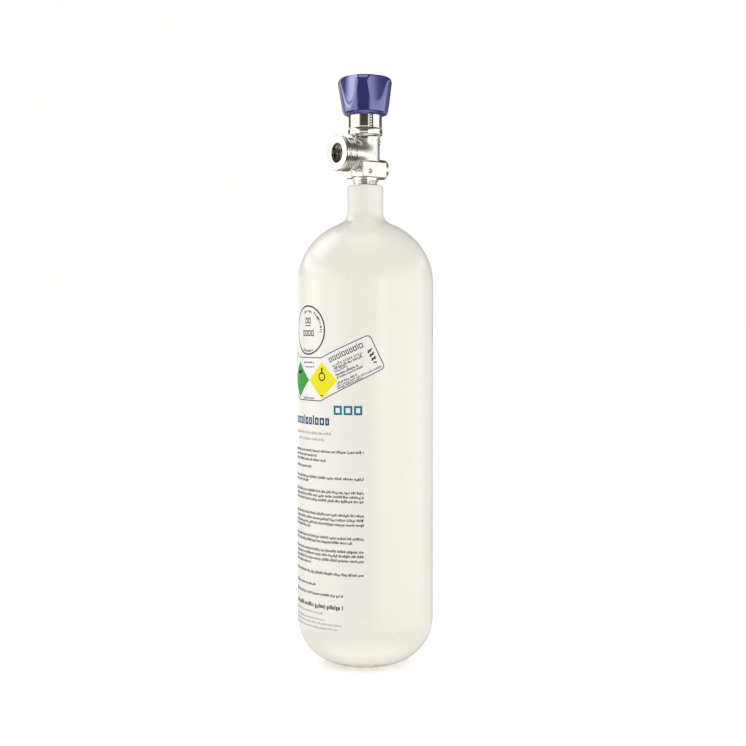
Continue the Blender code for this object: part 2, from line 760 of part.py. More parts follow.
def make_residual_pressure_valve(parts, cutters, looks):
    """Spring-loaded piston in the outlet, held by a slotted screw ring."""
    place_at = {"location": (0, 0, OUTLET_Z), "rotation": ALONG_OUTLET}
    piston = [
        (0, PISTON_END),
        (PISTON_STEM_RADIUS - 0.5 * MM, PISTON_END),
        (PISTON_STEM_RADIUS, PISTON_END - 0.5 * MM),
        (PISTON_STEM_RADIUS, PISTON_FLANGE_END),
        (PISTON_FLANGE_RADIUS, PISTON_FLANGE_END),
        (PISTON_FLANGE_RADIUS, PISTON_FACE),
        (0, PISTON_FACE),
    ]
    piston_holder = bpy.data.objects.new("piston_axis", None)
    piston_holder.location = (0, 0, OUTLET_Z)
    piston_holder.rotation_euler = ALONG_OUTLET
    parts.objects.link(piston_holder)
    turned("pressure_piston", piston, looks["brass"], parts).parent = piston_holder

    seal_thickness = PISTON_FACE - OUTLET_SEAT - 2 * GAP
    seal_y = -(OUTLET_SEAT + PISTON_FACE) / 2
    ring_seal(
        "piston_seal",
        3.6 * MM,
        seal_thickness,
        looks["rubber"],
        parts,
        (0, seal_y, OUTLET_Z),
        ALONG_OUTLET,
    )

    wire = 0.8 * MM
    spring_wire(
        "piston_spring",
        4.5 * MM,
        wire,
        2.5,
        PISTON_FLANGE_END + GAP + wire / 2,
        RETAINER_START - GAP - wire / 2,
        looks["steel"],
        parts,
    )

    ring = turned(
        "outlet_retainer",
        tube_profile(
            PISTON_STEM_RADIUS + GAP, OUTLET_BORE_RADIUS - GAP, RETAINER_START, RETAINER_END
        ),
        looks["chrome"],
        parts,
        closed=True,
        **place_at,
    )
    slot_half = 1.2 * MM
    slot_depth = 1.4 * MM
    slot = box(
        "retainer_slot",
        (-2 * OUTLET_BORE_RADIUS, -OUTLET_FACE, OUTLET_Z - slot_half),
        (2 * OUTLET_BORE_RADIUS, -(RETAINER_END - slot_depth), OUTLET_Z + slot_half),
        None,
        cutters,
    )
    combine(ring, as_cutter(slot), "DIFFERENCE")


# ---------------------------------------------------------------- labels


def rolled_label(name, outline, surface, collection):
    """A thin film: its flat outline in (s, z) is cut into columns and rolled onto the wall."""
    shape = bmesh.new()
    corners = [shape.verts.new((s, 0, z)) for s, z in outline]
    face = shape.faces.new(corners)
    grown = bmesh.ops.extrude_face_region(shape, geom=[face])["geom"]
    raised = [v for v in grown if isinstance(v, bmesh.types.BMVert)]
    bmesh.ops.translate(shape, vec=(0, -LABEL_THICKNESS, 0), verts=raised)
    column = LABEL_COLUMN * WALL_RADIUS
    reach = max(abs(s) for s, _ in outline)
    for i in range(-int(reach / column), int(reach / column) + 1):
        bmesh.ops.bisect_plane(
            shape,
            geom=list(shape.verts) + list(shape.edges) + list(shape.faces),
            plane_co=(i * column, 0, 0),
            plane_no=(1, 0, 0),
            dist=0.00001,
        )
    for vertex in shape.verts:
        angle = vertex.co.x / WALL_RADIUS
        radius = WALL_RADIUS + LABEL_STAND_OFF - vertex.co.y
        vertex.co = (radius * math.sin(angle), -radius * math.cos(angle), vertex.co.z)
    bmesh.ops.recalc_face_normals(shape, faces=shape.faces)
    mesh = bpy.data.meshes.new(name)
    shape.to_mesh(mesh)
    shape.free()
    return place(name, mesh, surface, collection)


def make_labels(parts, looks):
    stamp = [
        (STAMP_RADIUS * math.cos(a), STAMP_Z + STAMP_RADIUS * math.sin(a))
        for a in (math.tau * i / 28 for i in range(28))
    ]
    rolled_label("test_date_label", stamp, looks["film"], parts)

    info = [
        (-INFO_HALF_WIDTH, INFO_BOTTOM),
        (INFO_HALF_WIDTH, INFO_BOTTOM),
        (INFO_HALF_WIDTH, INFO_TOP),
        (-INFO_HALF_WIDTH, INFO_TOP),
    ]
    rolled_label("info_label", info, looks["film"], parts)

    right = [
        (HAZARD_MIDDLE_HALF_WIDTH, HAZARD_MIDDLE_BOTTOM),
        HAZARD_WING_BOTTOM,
        HAZARD_WING_TOP,
        (HAZARD_MIDDLE_HALF_WIDTH, HAZARD_MIDDLE_TOP),
    ]
    left = [(-s, z) for s, z in reversed(right)]
    rolled_label("gas_label", right + left, looks["film"], parts)


def make_looks():
    return {
        "paint": material("white_paint", (0.88, 0.86, 0.82), 0.35),
        "chrome": material("nickel_chrome_plate", (0.80, 0.79, 0.76), 0.12, 1.0),
        "brass": material("turned_brass", (0.72, 0.53, 0.24), 0.28, 1.0),
        "bronze": material("sintered_bronze", (0.45, 0.30, 0.16), 0.75, 1.0),
        "copper": material("copper", (0.80, 0.42, 0.27), 0.35, 1.0),
        "steel": material("spring_steel", (0.56, 0.56, 0.57), 0.30, 1.0),
        "ptfe": material("white_ptfe", (0.90, 0.90, 0.88), 0.55),
        "nylon": material("natural_nylon", (0.86, 0.82, 0.70), 0.50),
        "rubber": material("black_rubber", (0.03, 0.03, 0.03), 0.70),
        "blue": material("blue_plastic", (0.06, 0.05, 0.26), 0.22),
        "film": material("label_film", (0.93, 0.93, 0.92), 0.30),
    }


def main():
    clear_scene()
    parts = new_collection("oxygen_cylinder")
    cutters = new_collection("cutters")
    looks = make_looks()
    make_bottle(parts, looks)
    make_inlet_pieces(parts, looks)
    body = make_valve_body(parts, cutters, looks)
    make_lock_screw(parts, looks, body, cutters)
    make_bonnet(parts, looks)
    make_spindle(parts, cutters, looks)
    make_plug(parts, cutters, looks)
    make_handwheel(parts, cutters, looks)
    make_wheel_fittings(parts, cutters, looks)
    make_residual_pressure_valve(parts, cutters, looks)
    make_labels(parts, looks)


main()
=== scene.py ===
"""Looks for the small medical oxygen cylinder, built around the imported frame.

The frame is metres with +Z up. The origin is the lowest point of the bottle, on its axis.
The side outlet and the printed labels face -Y.
"""

import math
import random

import bmesh
import bpy
import numpy as np
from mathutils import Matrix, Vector


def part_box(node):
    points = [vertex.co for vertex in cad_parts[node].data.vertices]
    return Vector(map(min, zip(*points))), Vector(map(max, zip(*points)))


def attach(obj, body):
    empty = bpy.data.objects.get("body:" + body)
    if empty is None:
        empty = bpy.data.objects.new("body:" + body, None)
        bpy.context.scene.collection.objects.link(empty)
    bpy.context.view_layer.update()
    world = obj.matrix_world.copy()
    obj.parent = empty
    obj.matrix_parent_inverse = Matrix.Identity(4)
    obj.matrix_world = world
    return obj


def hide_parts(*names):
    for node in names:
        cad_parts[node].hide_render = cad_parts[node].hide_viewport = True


MM = 0.001

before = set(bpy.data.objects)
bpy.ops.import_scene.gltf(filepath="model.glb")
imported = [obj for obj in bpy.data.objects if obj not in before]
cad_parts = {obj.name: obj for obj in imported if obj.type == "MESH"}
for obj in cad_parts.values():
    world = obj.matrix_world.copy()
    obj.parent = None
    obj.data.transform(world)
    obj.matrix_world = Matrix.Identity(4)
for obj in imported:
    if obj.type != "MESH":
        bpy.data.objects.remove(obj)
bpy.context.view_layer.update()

# Sizes taken from the frame
shell_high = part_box("cylinder_shell")[1]
valve_low, valve_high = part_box("valve_body")
retainer_low, retainer_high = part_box("outlet_retainer")
piston_low, piston_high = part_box("pressure_piston")
bonnet_low, bonnet_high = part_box("bonnet")
screw_low, screw_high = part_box("bonnet_lock_screw")
wheel_low, wheel_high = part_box("handwheel")
cap_low, cap_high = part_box("wheel_cap")
WALL_RADIUS = shell_high.x
NECK_TOP = shell_high.z
STEM_BOTTOM = valve_low.z
COLLAR_TOP = valve_high.z
OUTLET_FACE = -valve_low.y
BACK_BOSS_END = valve_high.y
OUTLET_THREAD_RADIUS = valve_high.x
OUTLET_Z = (retainer_low.z + retainer_high.z) / 2
RETAINER_START = -retainer_high.y
RETAINER_END = -retainer_low.y
RETAINER_RADIUS = retainer_high.x
PISTON_START = -piston_high.y
PISTON_END = -piston_low.y
PISTON_FLANGE_RADIUS = piston_high.x
BONNET_FOOT = bonnet_low.z
BONNET_TOP = bonnet_high.z
BONNET_RADIUS = bonnet_high.x
LOCK_SCREW_Z = (screw_low.z + screw_high.z) / 2
LOCK_SCREW_RADIUS = screw_high.x
LOCK_SCREW_START = screw_low.y
LOCK_SCREW_END = screw_high.y
WHEEL_FOOT = wheel_low.z
WHEEL_TOP = wheel_high.z
CAP_RADIUS = cap_high.x
CAP_BOTTOM = cap_low.z
CAP_TOP = cap_high.z

# Bottle
FLAT_RADIUS = 16 * MM
BASE_HEIGHT = 34 * MM
BASE_THICKNESS = 5 * MM
WALL_THICKNESS = 3.3 * MM
SHOULDER_START = 280 * MM
SHOULDER_HEIGHT = 46.8 * MM
SHOULDER_INSET = 2 * MM
SHOULDER_THICKNESS = 5.8 * MM
NECK_RADIUS = 13.2 * MM
NECK_LIP = 1.6 * MM
NECK_FILLET = 8 * MM
NECK_BORE_PLAY = 0.9 * MM

# Valve
STEM_TOP = 356 * MM
STEM_TOP_RADIUS = 9 * MM
STEM_TAPER = 0.06
STEM_PITCH = 1.814 * MM
BLOCK_BOTTOM = 357.3 * MM
BLOCK_TOP = 369 * MM
BLOCK_HALF_WIDTH = 11.3 * MM
BLOCK_FRONT = -10.1 * MM
BLOCK_BACK = 11.5 * MM
BACK_BOSS_RADIUS = 7.3 * MM
BACK_BOSS_Z = 364.5 * MM
COLUMN_RADIUS = 10.6 * MM
COLLAR_RADIUS = 12.6 * MM
COLLAR_BOTTOM = 388.9 * MM
OUTLET_BOSS_RADIUS = 10.2 * MM
OUTLET_THREAD_START = 14.5 * MM
OUTLET_BORE_RADIUS = 7.35 * MM
OUTLET_SEAT = 11 * MM
OUTLET_PITCH = 1.814 * MM
THREAD_FLAT = 0.14  # flat share of each crest and root
THREAD_FADE = 1.5  # steepness of the fade at a thread's ends
CHAMBER_RADIUS = 6 * MM
CHAMBER_FLOOR = 368 * MM
BONNET_BORE_BOTTOM = 386 * MM
BONNET_BORE_RADIUS = 8.6 * MM
SPINDLE_BORE_RADIUS = 3.8 * MM
PISTON_STEM_RADIUS = 2.9 * MM
TICK_ANGLE = math.radians(-13.5)
TICK_PITCH = 1.9 * MM
PUNCH_MARK = (BLOCK_HALF_WIDTH, -3.3 * MM, 361.9 * MM)

# Handwheel
WHEEL_RADIUS = 20.05 * MM
WHEEL_WIDEST = 426.3 * MM
WHEEL_CORNER_WIDTH = 5.05 * MM
WHEEL_CORNER_HEIGHT = 4.9 * MM
WHEEL_BOTTOM_RADIUS = 16.6 * MM
WHEEL_BOTTOM_EDGE = 405.2 * MM
WHEEL_FOOT_RADIUS = 13.7 * MM
WHEEL_RECESS_RADIUS = 12.75 * MM
WHEEL_RECESS_TOP = 410.6 * MM
WHEEL_HUB_RADIUS = 6.3 * MM
WHEEL_POCKET_BOTTOM = 421 * MM
WHEEL_POCKET_RADIUS = 7.6 * MM
WHEEL_CAP_SEAT = 429 * MM
WHEEL_CAP_SEAT_RADIUS = 9.3 * MM
SCOOP_COUNT = 5
SCOOP_RADIUS = 16 * MM
SCOOP_FOOT = 410 * MM
SCOOP_FOOT_REACH = 17.2 * MM
SCOOP_LEAN = math.radians(4)
SCOOP_EDGE = 0.8 * MM
FIRST_RIB = math.radians(-41)

# Labels, in widths along the wall from the front line (s) and heights (z)
FILM_LIFT = 0.04 * MM
FILM_THICKNESS = 0.1 * MM
INK_THICKNESS = 0.02 * MM
COLUMN = 1.2 * MM
DOME_CUTS = range(31, 37)  # heights in mm where a film is divided as the wall curves in
STAMP_Z = 246 * MM
STAMP_RADIUS = 18 * MM
INFO_HALF_WIDTH = 50 * MM
INFO_BOTTOM = 30 * MM
INFO_TOP = 193.8 * MM
HAZARD_MIDDLE_HALF_WIDTH = 14 * MM
HAZARD_MIDDLE_TOP = 226.7 * MM
HAZARD_MIDDLE_BOTTOM = 195.3 * MM
HAZARD_WING_TOP = (51 * MM, 243.5 * MM)
HAZARD_WING_BOTTOM = (62.5 * MM, 219.5 * MM)
WING_LEAN = math.radians(24.2)
DIAMOND_Z = 210.2 * MM

# Floor, colour of the plating, camera and light
FLOOR_LEVEL = -0.04 * MM
FLOOR_UNDERSIDE = -20 * MM
FLOOR_RADIUS = 40  # metres
PLATE = (0.83, 0.82, 0.79)
CAMERA_AZIMUTH = math.radians(55)
CAMERA_DISTANCE = 1.0
CAMERA_HEIGHT = 0.253
CAMERA_TILT = math.radians(1.6)
CAMERA_TURN = math.radians(0.326)
CAMERA_LENS = 65.3
CAMERA_SHIFT = -0.02
LIGHT_PEAK = 8.0  # the shiny light is stored as shares of this brightness
UPPER_BOXES_FROM = math.radians(11)  # from here up to the next, the softboxes change over
UPPER_BOXES_TO = math.radians(15)


# ---------------------------------------------------------------- shapes


def arc(middle, across, up, start, end, count):
    """Points of an elliptical arc from start to end degrees, where 0 lies along +radius."""
    angles = [math.radians(start + (end - start) * i / count) for i in range(count + 1)]
    return [(middle[0] + across * math.cos(a), middle[1] + up * math.sin(a)) for a in angles]


def bend(start, corner, end, steps):
    """Points on a curve that rounds off a corner, from one side of it to the other."""
    shares = [step / steps for step in range(steps + 1)]
    return [start * (1 - t) ** 2 + corner * 2 * t * (1 - t) + end * t**2 for t in shares]


def soften(profile, reach, steps=3, closed=False):
    """Rounds the corners of a profile that turn by more than 20 degrees."""
    points = [Vector(p) for p in profile]
    count = len(points)
    softened = []
    for i, corner in enumerate(points):
        if not closed and i in (0, count - 1):
            softened.append(tuple(corner))
            continue
        before = points[i - 1] - corner
        after = points[(i + 1) % count] - corner
        if (-before).angle(after) < math.radians(20):
            softened.append(tuple(corner))
            continue
        start = corner + before.normalized() * min(reach, before.length * 0.45)
        end = corner + after.normalized() * min(reach, after.length * 0.45)
        softened += [tuple(point) for point in bend(start, corner, end, steps)]
    return softened


def upright(points):
    return points


def along_outlet(points):
    """Lays a piece's own Z axis along the outlet, towards -Y."""
    x, y, z = points.T
    return np.stack([x, -z, y + OUTLET_Z], axis=1)


def along_lock_screw(points):
    """Lays a piece's own Z axis along the lock screw, towards +Y."""
    x, y, z = points.T
    return np.stack([x, z, LOCK_SCREW_Z - y], axis=1)


def finish_mesh(name, points, faces, look, normals=None, sharp=38):
    """Makes a smooth shaded object from points and faces, with its sharp edges kept."""
    mesh = bpy.data.meshes.new(name)
    mesh.from_pydata(np.asarray(points).tolist(), [], np.asarray(faces).tolist())
    if normals is None:
        shape = bmesh.new()
        shape.from_mesh(mesh)
        bmesh.ops.remove_doubles(shape, verts=shape.verts, dist=0.1e-6)
        bmesh.ops.recalc_face_normals(shape, faces=shape.faces)
        shape.to_mesh(mesh)
        shape.free()
    mesh.shade_smooth()
    if normals is None:
        mesh.set_sharp_from_angle(angle=math.radians(sharp))
    else:
        mesh.normals_split_custom_set_from_vertices(normals.tolist())
    return placed(name, mesh, look)


def placed(name, mesh, look):
    """Puts a mesh with one look into the scene."""
    mesh.materials.append(look)
    thing = bpy.data.objects.new(name, mesh)
    bpy.context.scene.collection.objects.link(thing)
    return thing


def turned(name, profile, look, segments=128, closed=False, lay=upright, swell=None):
    """Turns a profile of (radius, height) points round its axis.

    swell(angle, height, radius) gives what is added to the radius at each point.
    """
    outline = np.array(profile)
    rows, columns = len(outline), segments
    angle = np.arange(columns) * math.tau / columns
    radius = np.repeat(outline[:, :1], columns, axis=1)
    height = np.repeat(outline[:, 1:], columns, axis=1)
    if swell:
        radius = radius + swell(angle[None, :], height, radius)
    points = np.stack([radius * np.cos(angle), radius * np.sin(angle), height], axis=-1)
    row = np.arange(rows if closed else rows - 1)[:, None]
    column = np.arange(columns)[None, :]
    below, beside = (row + 1) % rows, (column + 1) % columns
    sides = ((row, column), (below, column), (below, beside), (row, beside))
    faces = np.stack([r * columns + c for r, c in sides], axis=-1)
    return finish_mesh(name, lay(points.reshape(-1, 3)), faces.reshape(-1, 4), look)


# ---------------------------------------------------------------- shapes given as distance fields


def smooth_join(a, b, reach):
    """The union of two fields, with a fillet."""
    blend = np.maximum(reach - np.abs(a - b), 0) / reach
    return np.minimum(a, b) - blend * blend * reach / 4


def smooth_cut(a, b, reach):
    """Field a without field b, with a rounded edge."""
    return -smooth_join(-a, b, reach)


def rod_field(x, y, z, radius, low, high, edge):
    """A cylinder along z with rounded rims."""
    across = np.hypot(x, y) - radius + edge
    along = np.abs(z - (low + high) / 2) - (high - low) / 2 + edge
    outside = np.hypot(np.maximum(across, 0), np.maximum(along, 0))
    return outside + np.minimum(np.maximum(across, along), 0) - edge


def block_field(x, y, z, low, high, edge):
    """A block between two corners with rounded edges."""
    spans = zip((x, y, z), low, high)
    sides = [np.abs(v - (a + b) / 2) - (b - a) / 2 + edge for v, a, b in spans]
    outside = np.sqrt(sum(np.maximum(side, 0) ** 2 for side in sides))
    inside = np.minimum(np.maximum(np.maximum(sides[0], sides[1]), sides[2]), 0)
    return outside + inside - edge


def outline_field(radius, height, outline):
    """Distance to a closed outline in radius and height, negative inside it."""
    nearest = np.full(np.shape(radius), np.inf)
    inside = np.zeros(np.shape(radius), bool)
    for (ra, za), (rb, zb) in zip(outline, outline[1:] + outline[:1]):
        dr, dz = rb - ra, zb - za
        share = ((radius - ra) * dr + (height - za) * dz) / (dr * dr + dz * dz)
        share = np.clip(share, 0, 1)
        gap = np.hypot(radius - ra - share * dr, height - za - share * dz)
        nearest = np.minimum(nearest, gap)
        if dz:
            crosses = (za > height) != (zb > height)
            inside ^= crosses & (radius < ra + (height - za) * dr / dz)
    return np.where(inside, -nearest, nearest)


def surface_net(field, low, high, step):
    """Points, four-sided faces and normals of the surface where a field is zero."""
    axes = [np.arange(a, b + step, step) for a, b in zip(low, high)]
    values = field(*np.meshgrid(*axes, indexing="ij"))
    cells = np.array(values.shape) - 1
    total = np.zeros((cells.prod(), 3))
    count = np.zeros(cells.prod())
    quads = []
    for axis in range(3):
        first = np.take(values, range(values.shape[axis] - 1), axis)
        second = np.take(values, range(1, values.shape[axis]), axis)
        place = np.argwhere((first < 0) != (second < 0))
        at = tuple(place.T)
        crossing = place.astype(float)
        crossing[:, axis] += first[at] / (first[at] - second[at])
        b, c = (axis + 1) % 3, (axis + 2) % 3
        around = []
        for back_b, back_c in ((1, 1), (0, 1), (0, 0), (1, 0)):
            cell = place.copy()
            cell[:, b] -= back_b
            cell[:, c] -= back_c
            index = np.ravel_multi_index(cell.T, cells)
            np.add.at(total, index, crossing)
            np.add.at(count, index, 1)
            around.append(index)
        quad = np.stack(around, axis=1)
        outwards = first[at] < 0
        quads.append(np.where(outwards[:, None], quad, quad[:, ::-1]))
    used = np.flatnonzero(count)
    order = np.full(cells.prod(), -1)
    order[used] = np.arange(len(used))
    points = total[used] / count[used, None] * step + np.array(low)
    nudge = step * 0.05
    for _ in range(4):
        value = field(*points.T)
        slope = field_slope(field, points, nudge)
        steepness = np.maximum((slope**2).sum(1), 0.05)
        move = (value / steepness)[:, None] * slope
        points = points - np.clip(move, -step / 2, step / 2)
    slope = field_slope(field, points, nudge)
    normals = slope / np.linalg.norm(slope, axis=1)[:, None]
    return points, order[np.concatenate(quads)], normals


def field_slope(field, points, nudge):
    slope = np.zeros_like(points)
    for axis in range(3):
        ahead = points.copy()
        behind = points.copy()
        ahead[:, axis] += nudge
        behind[:, axis] -= nudge
        slope[:, axis] = (field(*ahead.T) - field(*behind.T)) / (2 * nudge)
    return slope


def sculpted(name, field, low, high, step, look):
    points, faces, normals = surface_net(field, low, high, step)
    return finish_mesh(name, points, faces, look, normals)


def settle(piece, body, slot, *nodes):
    """Ties a piece to its CAD body and hides the CAD nodes it stands for. The slot argument is not used.
    """
    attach(piece, body)
    if nodes:
        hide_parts(*nodes)
    return piece


# ---------------------------------------------------------------- finishes


def node(tree, kind, inputs=None, **settings):
    """Adds a shader node; inputs maps a socket's name or number to a value or another socket."""
    made = tree.nodes.new(kind)
    for key, value in settings.items():
        setattr(made, key, value)
    for key, value in (inputs or {}).items():
        if isinstance(value, bpy.types.NodeSocket):
            tree.links.new(value, made.inputs[key])
        else:
            made.inputs[key].default_value = value
    return made


def new_look(name, colour, roughness, metallic=0.0, **extras):
    """A material with its Principled shader, and the place of each point as a vector."""
    look = bpy.data.materials.new(name)
    look.use_nodes = True
    tree = look.node_tree
    shader = tree.nodes["Principled BSDF"]
    shader.inputs["Base Color"].default_value = (*colour, 1)
    shader.inputs["Roughness"].default_value = roughness
    shader.inputs["Metallic"].default_value = metallic
    for key, value in extras.items():
        shader.inputs[key.replace("_", " ")].default_value = value
    place = node(tree, "ShaderNodeTexCoord").outputs["Object"]
    return look, tree, shader, place


def noise(tree, place, scale, detail=2.0, roughness=0.5, stretch=None):
    if stretch:
        place = node(tree, "ShaderNodeMapping", {"Vector": place, "Scale": stretch}).outputs[0]
    inputs = {"Vector": place, "Scale": scale, "Detail": detail, "Roughness": roughness}
    return node(tree, "ShaderNodeTexNoise", inputs).outputs["Fac"]


def ramp(tree, value, *stops):
    """Colours between stops of (position, colour)."""
    made = node(tree, "ShaderNodeValToRGB", {"Fac": value})
    elements = made.color_ramp.elements
    while len(elements) < len(stops):
        elements.new(1)
    for element, (position, colour) in zip(elements, stops):
        element.position = position
        element.color = (*colour, 1)
    return made.outputs["Color"]


def spread(tree, value, start, end, low, high):
    inputs = {"Value": value, "From Min": start, "From Max": end, "To Min": low, "To Max": high}
    return node(tree, "ShaderNodeMapRange", inputs).outputs["Result"]


def mix(tree, factor, first, second):
    made = node(tree, "ShaderNodeMix", data_type="RGBA")
    for key, value in ((0, factor), (6, first), (7, second)):
        if isinstance(value, bpy.types.NodeSocket):
            tree.links.new(value, made.inputs[key])
        else:
            made.inputs[key].default_value = value if key == 0 else (*value, 1)
    return made.outputs[2]


def calculate(tree, operation, first, second=0.0, clamp=False):
    inputs = {0: first, 1: second}
    made = node(tree, "ShaderNodeMath", inputs, operation=operation, use_clamp=clamp)
    return made.outputs[0]


def relief(tree, height, strength, distance):
    inputs = {"Height": height, "Strength": strength, "Distance": distance}
    return node(tree, "ShaderNodeBump", inputs).outputs["Normal"]


def link(tree, source, shader, name):
    tree.links.new(source, shader.inputs[name])


def lathe_place(tree, place, axis, offset=0.0):
    """Radius and length along an axis, for marks that run round a turned piece."""
    parts = node(tree, "ShaderNodeSeparateXYZ", {0: place})
    if axis == "Z":
        first, second, length = parts.outputs[0], parts.outputs[1], parts.outputs[2]
    else:
        first, length = parts.outputs[0], parts.outputs[1]
        second = calculate(tree, "SUBTRACT", parts.outputs[2], offset)
    across = node(tree, "ShaderNodeCombineXYZ", {0: first, 1: second})
    radius = node(tree, "ShaderNodeVectorMath", {0: across.outputs[0]}, operation="LENGTH")
    made = node(tree, "ShaderNodeCombineXYZ", {0: radius.outputs["Value"], 1: length})
    return made.outputs[0]


def enamel_look():
    """Warm white enamel with orange peel, handling scuffs and wear where the bottle stands."""
    look, tree, shader, place = new_look(
        "white_enamel", (0.86, 0.828, 0.75), 0.3, Coat_Weight=0.2, Coat_Roughness=0.12
    )
    cloud = noise(tree, place, 14, 3)
    deep, pale, dull = (0.85, 0.815, 0.73), (0.865, 0.835, 0.76), (0.85, 0.815, 0.735)
    tone = ramp(tree, cloud, (0.3, deep), (0.55, pale), (0.8, dull))
    specks = noise(tree, place, 900, 2)
    tone = mix(tree, spread(tree, specks, 0.7, 0.8, 0, 0.2), tone, (0.6, 0.57, 0.52))
    scuff = noise(tree, place, 60, 5, 0.7, stretch=(1, 1, 0.35))
    scuff_mask = spread(tree, scuff, 0.66, 0.76, 0, 0.16)
    tone = mix(tree, scuff_mask, tone, (0.55, 0.52, 0.47))
    parts = node(tree, "ShaderNodeSeparateXYZ", {0: place})
    low = spread(tree, parts.outputs[2], 0.0005, 0.007, 1, 0)
    patch = noise(tree, place, 220, 5, 0.65)
    wear = calculate(tree, "MULTIPLY", low, spread(tree, patch, 0.46, 0.56, 0, 1))
    rust = mix(tree, noise(tree, place, 500, 3), (0.36, 0.3, 0.24), (0.5, 0.38, 0.26))
    link(tree, mix(tree, wear, tone, rust), shader, "Base Color")
    smear = noise(tree, place, 45, 4, 0.6)
    gloss = spread(tree, smear, 0.3, 0.75, 0.26, 0.4)
    gloss = calculate(tree, "ADD", gloss, calculate(tree, "MULTIPLY", wear, 0.35), True)
    link(tree, gloss, shader, "Roughness")
    peel = noise(tree, place, 520, 2, 0.5)
    link(tree, relief(tree, peel, 0.12, 0.0002), shader, "Normal")
    return look


def chrome_look(name, axis=None, offset=0.0, roughness=(0.05, 0.13), colour=PLATE):
    """Bright plate over brass; turned pieces get fine marks round their axis."""
    look, tree, shader, place = new_look(name, colour, 0.1, 1.0)
    cloud = noise(tree, place, 160, 4, 0.6)
    warm = tuple(part * tint for part, tint in zip(colour, (0.97, 0.95, 0.9)))
    link(tree, mix(tree, cloud, colour, warm), shader, "Base Color")
    smear = noise(tree, place, 320, 4, 0.65)
    link(tree, spread(tree, smear, 0.3, 0.7, *roughness), shader, "Roughness")
    if axis:
        marks = noise(tree, lathe_place(tree, place, axis, offset), 9000, 2, 0.6)
        link(tree, relief(tree, marks, 0.06, 0.00002), shader, "Normal")
    else:
        skin = noise(tree, place, 420, 3, 0.55)
        link(tree, relief(tree, skin, 0.25, 0.0001), shader, "Normal")
    return look


def bonnet_look():
    """Bright plate with a narrow dark strip and plain light ticks up one side."""
    look = chrome_look("bright_plate_bonnet", "Z", roughness=(0.02, 0.05))
    tree = look.node_tree
    shader = tree.nodes["Principled BSDF"]
    plate = shader.inputs["Base Color"].links[0].from_socket
    place = node(tree, "ShaderNodeTexCoord").outputs["Object"]
    parts = node(tree, "ShaderNodeSeparateXYZ", {0: place})
    angle = calculate(tree, "ARCTAN2", parts.outputs[1], parts.outputs[0])

    def near(value, middle, half_width):
        gap = calculate(tree, "ABSOLUTE", calculate(tree, "SUBTRACT", value, middle))
        return calculate(tree, "LESS_THAN", gap, half_width)

    strip = near(angle, TICK_ANGLE, math.radians(7))
    tick = near(angle, TICK_ANGLE - math.radians(1), math.radians(2.6))
    level = calculate(tree, "FRACT", calculate(tree, "DIVIDE", parts.outputs[2], TICK_PITCH))
    tick = calculate(tree, "MULTIPLY", tick, calculate(tree, "LESS_THAN", level, 0.55))
    # A dark strip with light ticks, set into the plate colour.
    dark_strip_tone = mix(tree, strip, plate, (0.06, 0.06, 0.05))
    link(tree, mix(tree, tick, dark_strip_tone, PLATE), shader, "Base Color")
    return look


def metal_look(name, colour, darker, roughness, scale, strength=0.1):
    """A bare metal with two tones of tarnish and a fine grain."""
    look, tree, shader, place = new_look(name, colour, roughness, 1.0)
    cloud = noise(tree, place, scale, 4, 0.6)
    link(tree, mix(tree, cloud, colour, darker), shader, "Base Color")
    gloss = spread(tree, cloud, 0.3, 0.7, roughness * 0.8, min(1, roughness * 1.3))
    link(tree, gloss, shader, "Roughness")
    grain = noise(tree, place, scale * 12, 3, 0.6)
    link(tree, relief(tree, grain, strength, 0.00005), shader, "Normal")
    return look


def soft_look(name, colour, other, roughness, scale, strength=0.1, **extras):
    """A plastic, rubber or film surface with a slight change of tone and a fine grain."""
    look, tree, shader, place = new_look(name, colour, roughness, **extras)
    cloud = noise(tree, place, scale, 3, 0.55)
    link(tree, mix(tree, cloud, colour, other), shader, "Base Color")
    gloss = spread(tree, cloud, 0.3, 0.7, roughness * 0.85, min(1, roughness * 1.2))
    link(tree, gloss, shader, "Roughness")
    grain = noise(tree, place, scale * 15, 2, 0.5)
    link(tree, relief(tree, grain, strength, 0.00005), shader, "Normal")
    return look


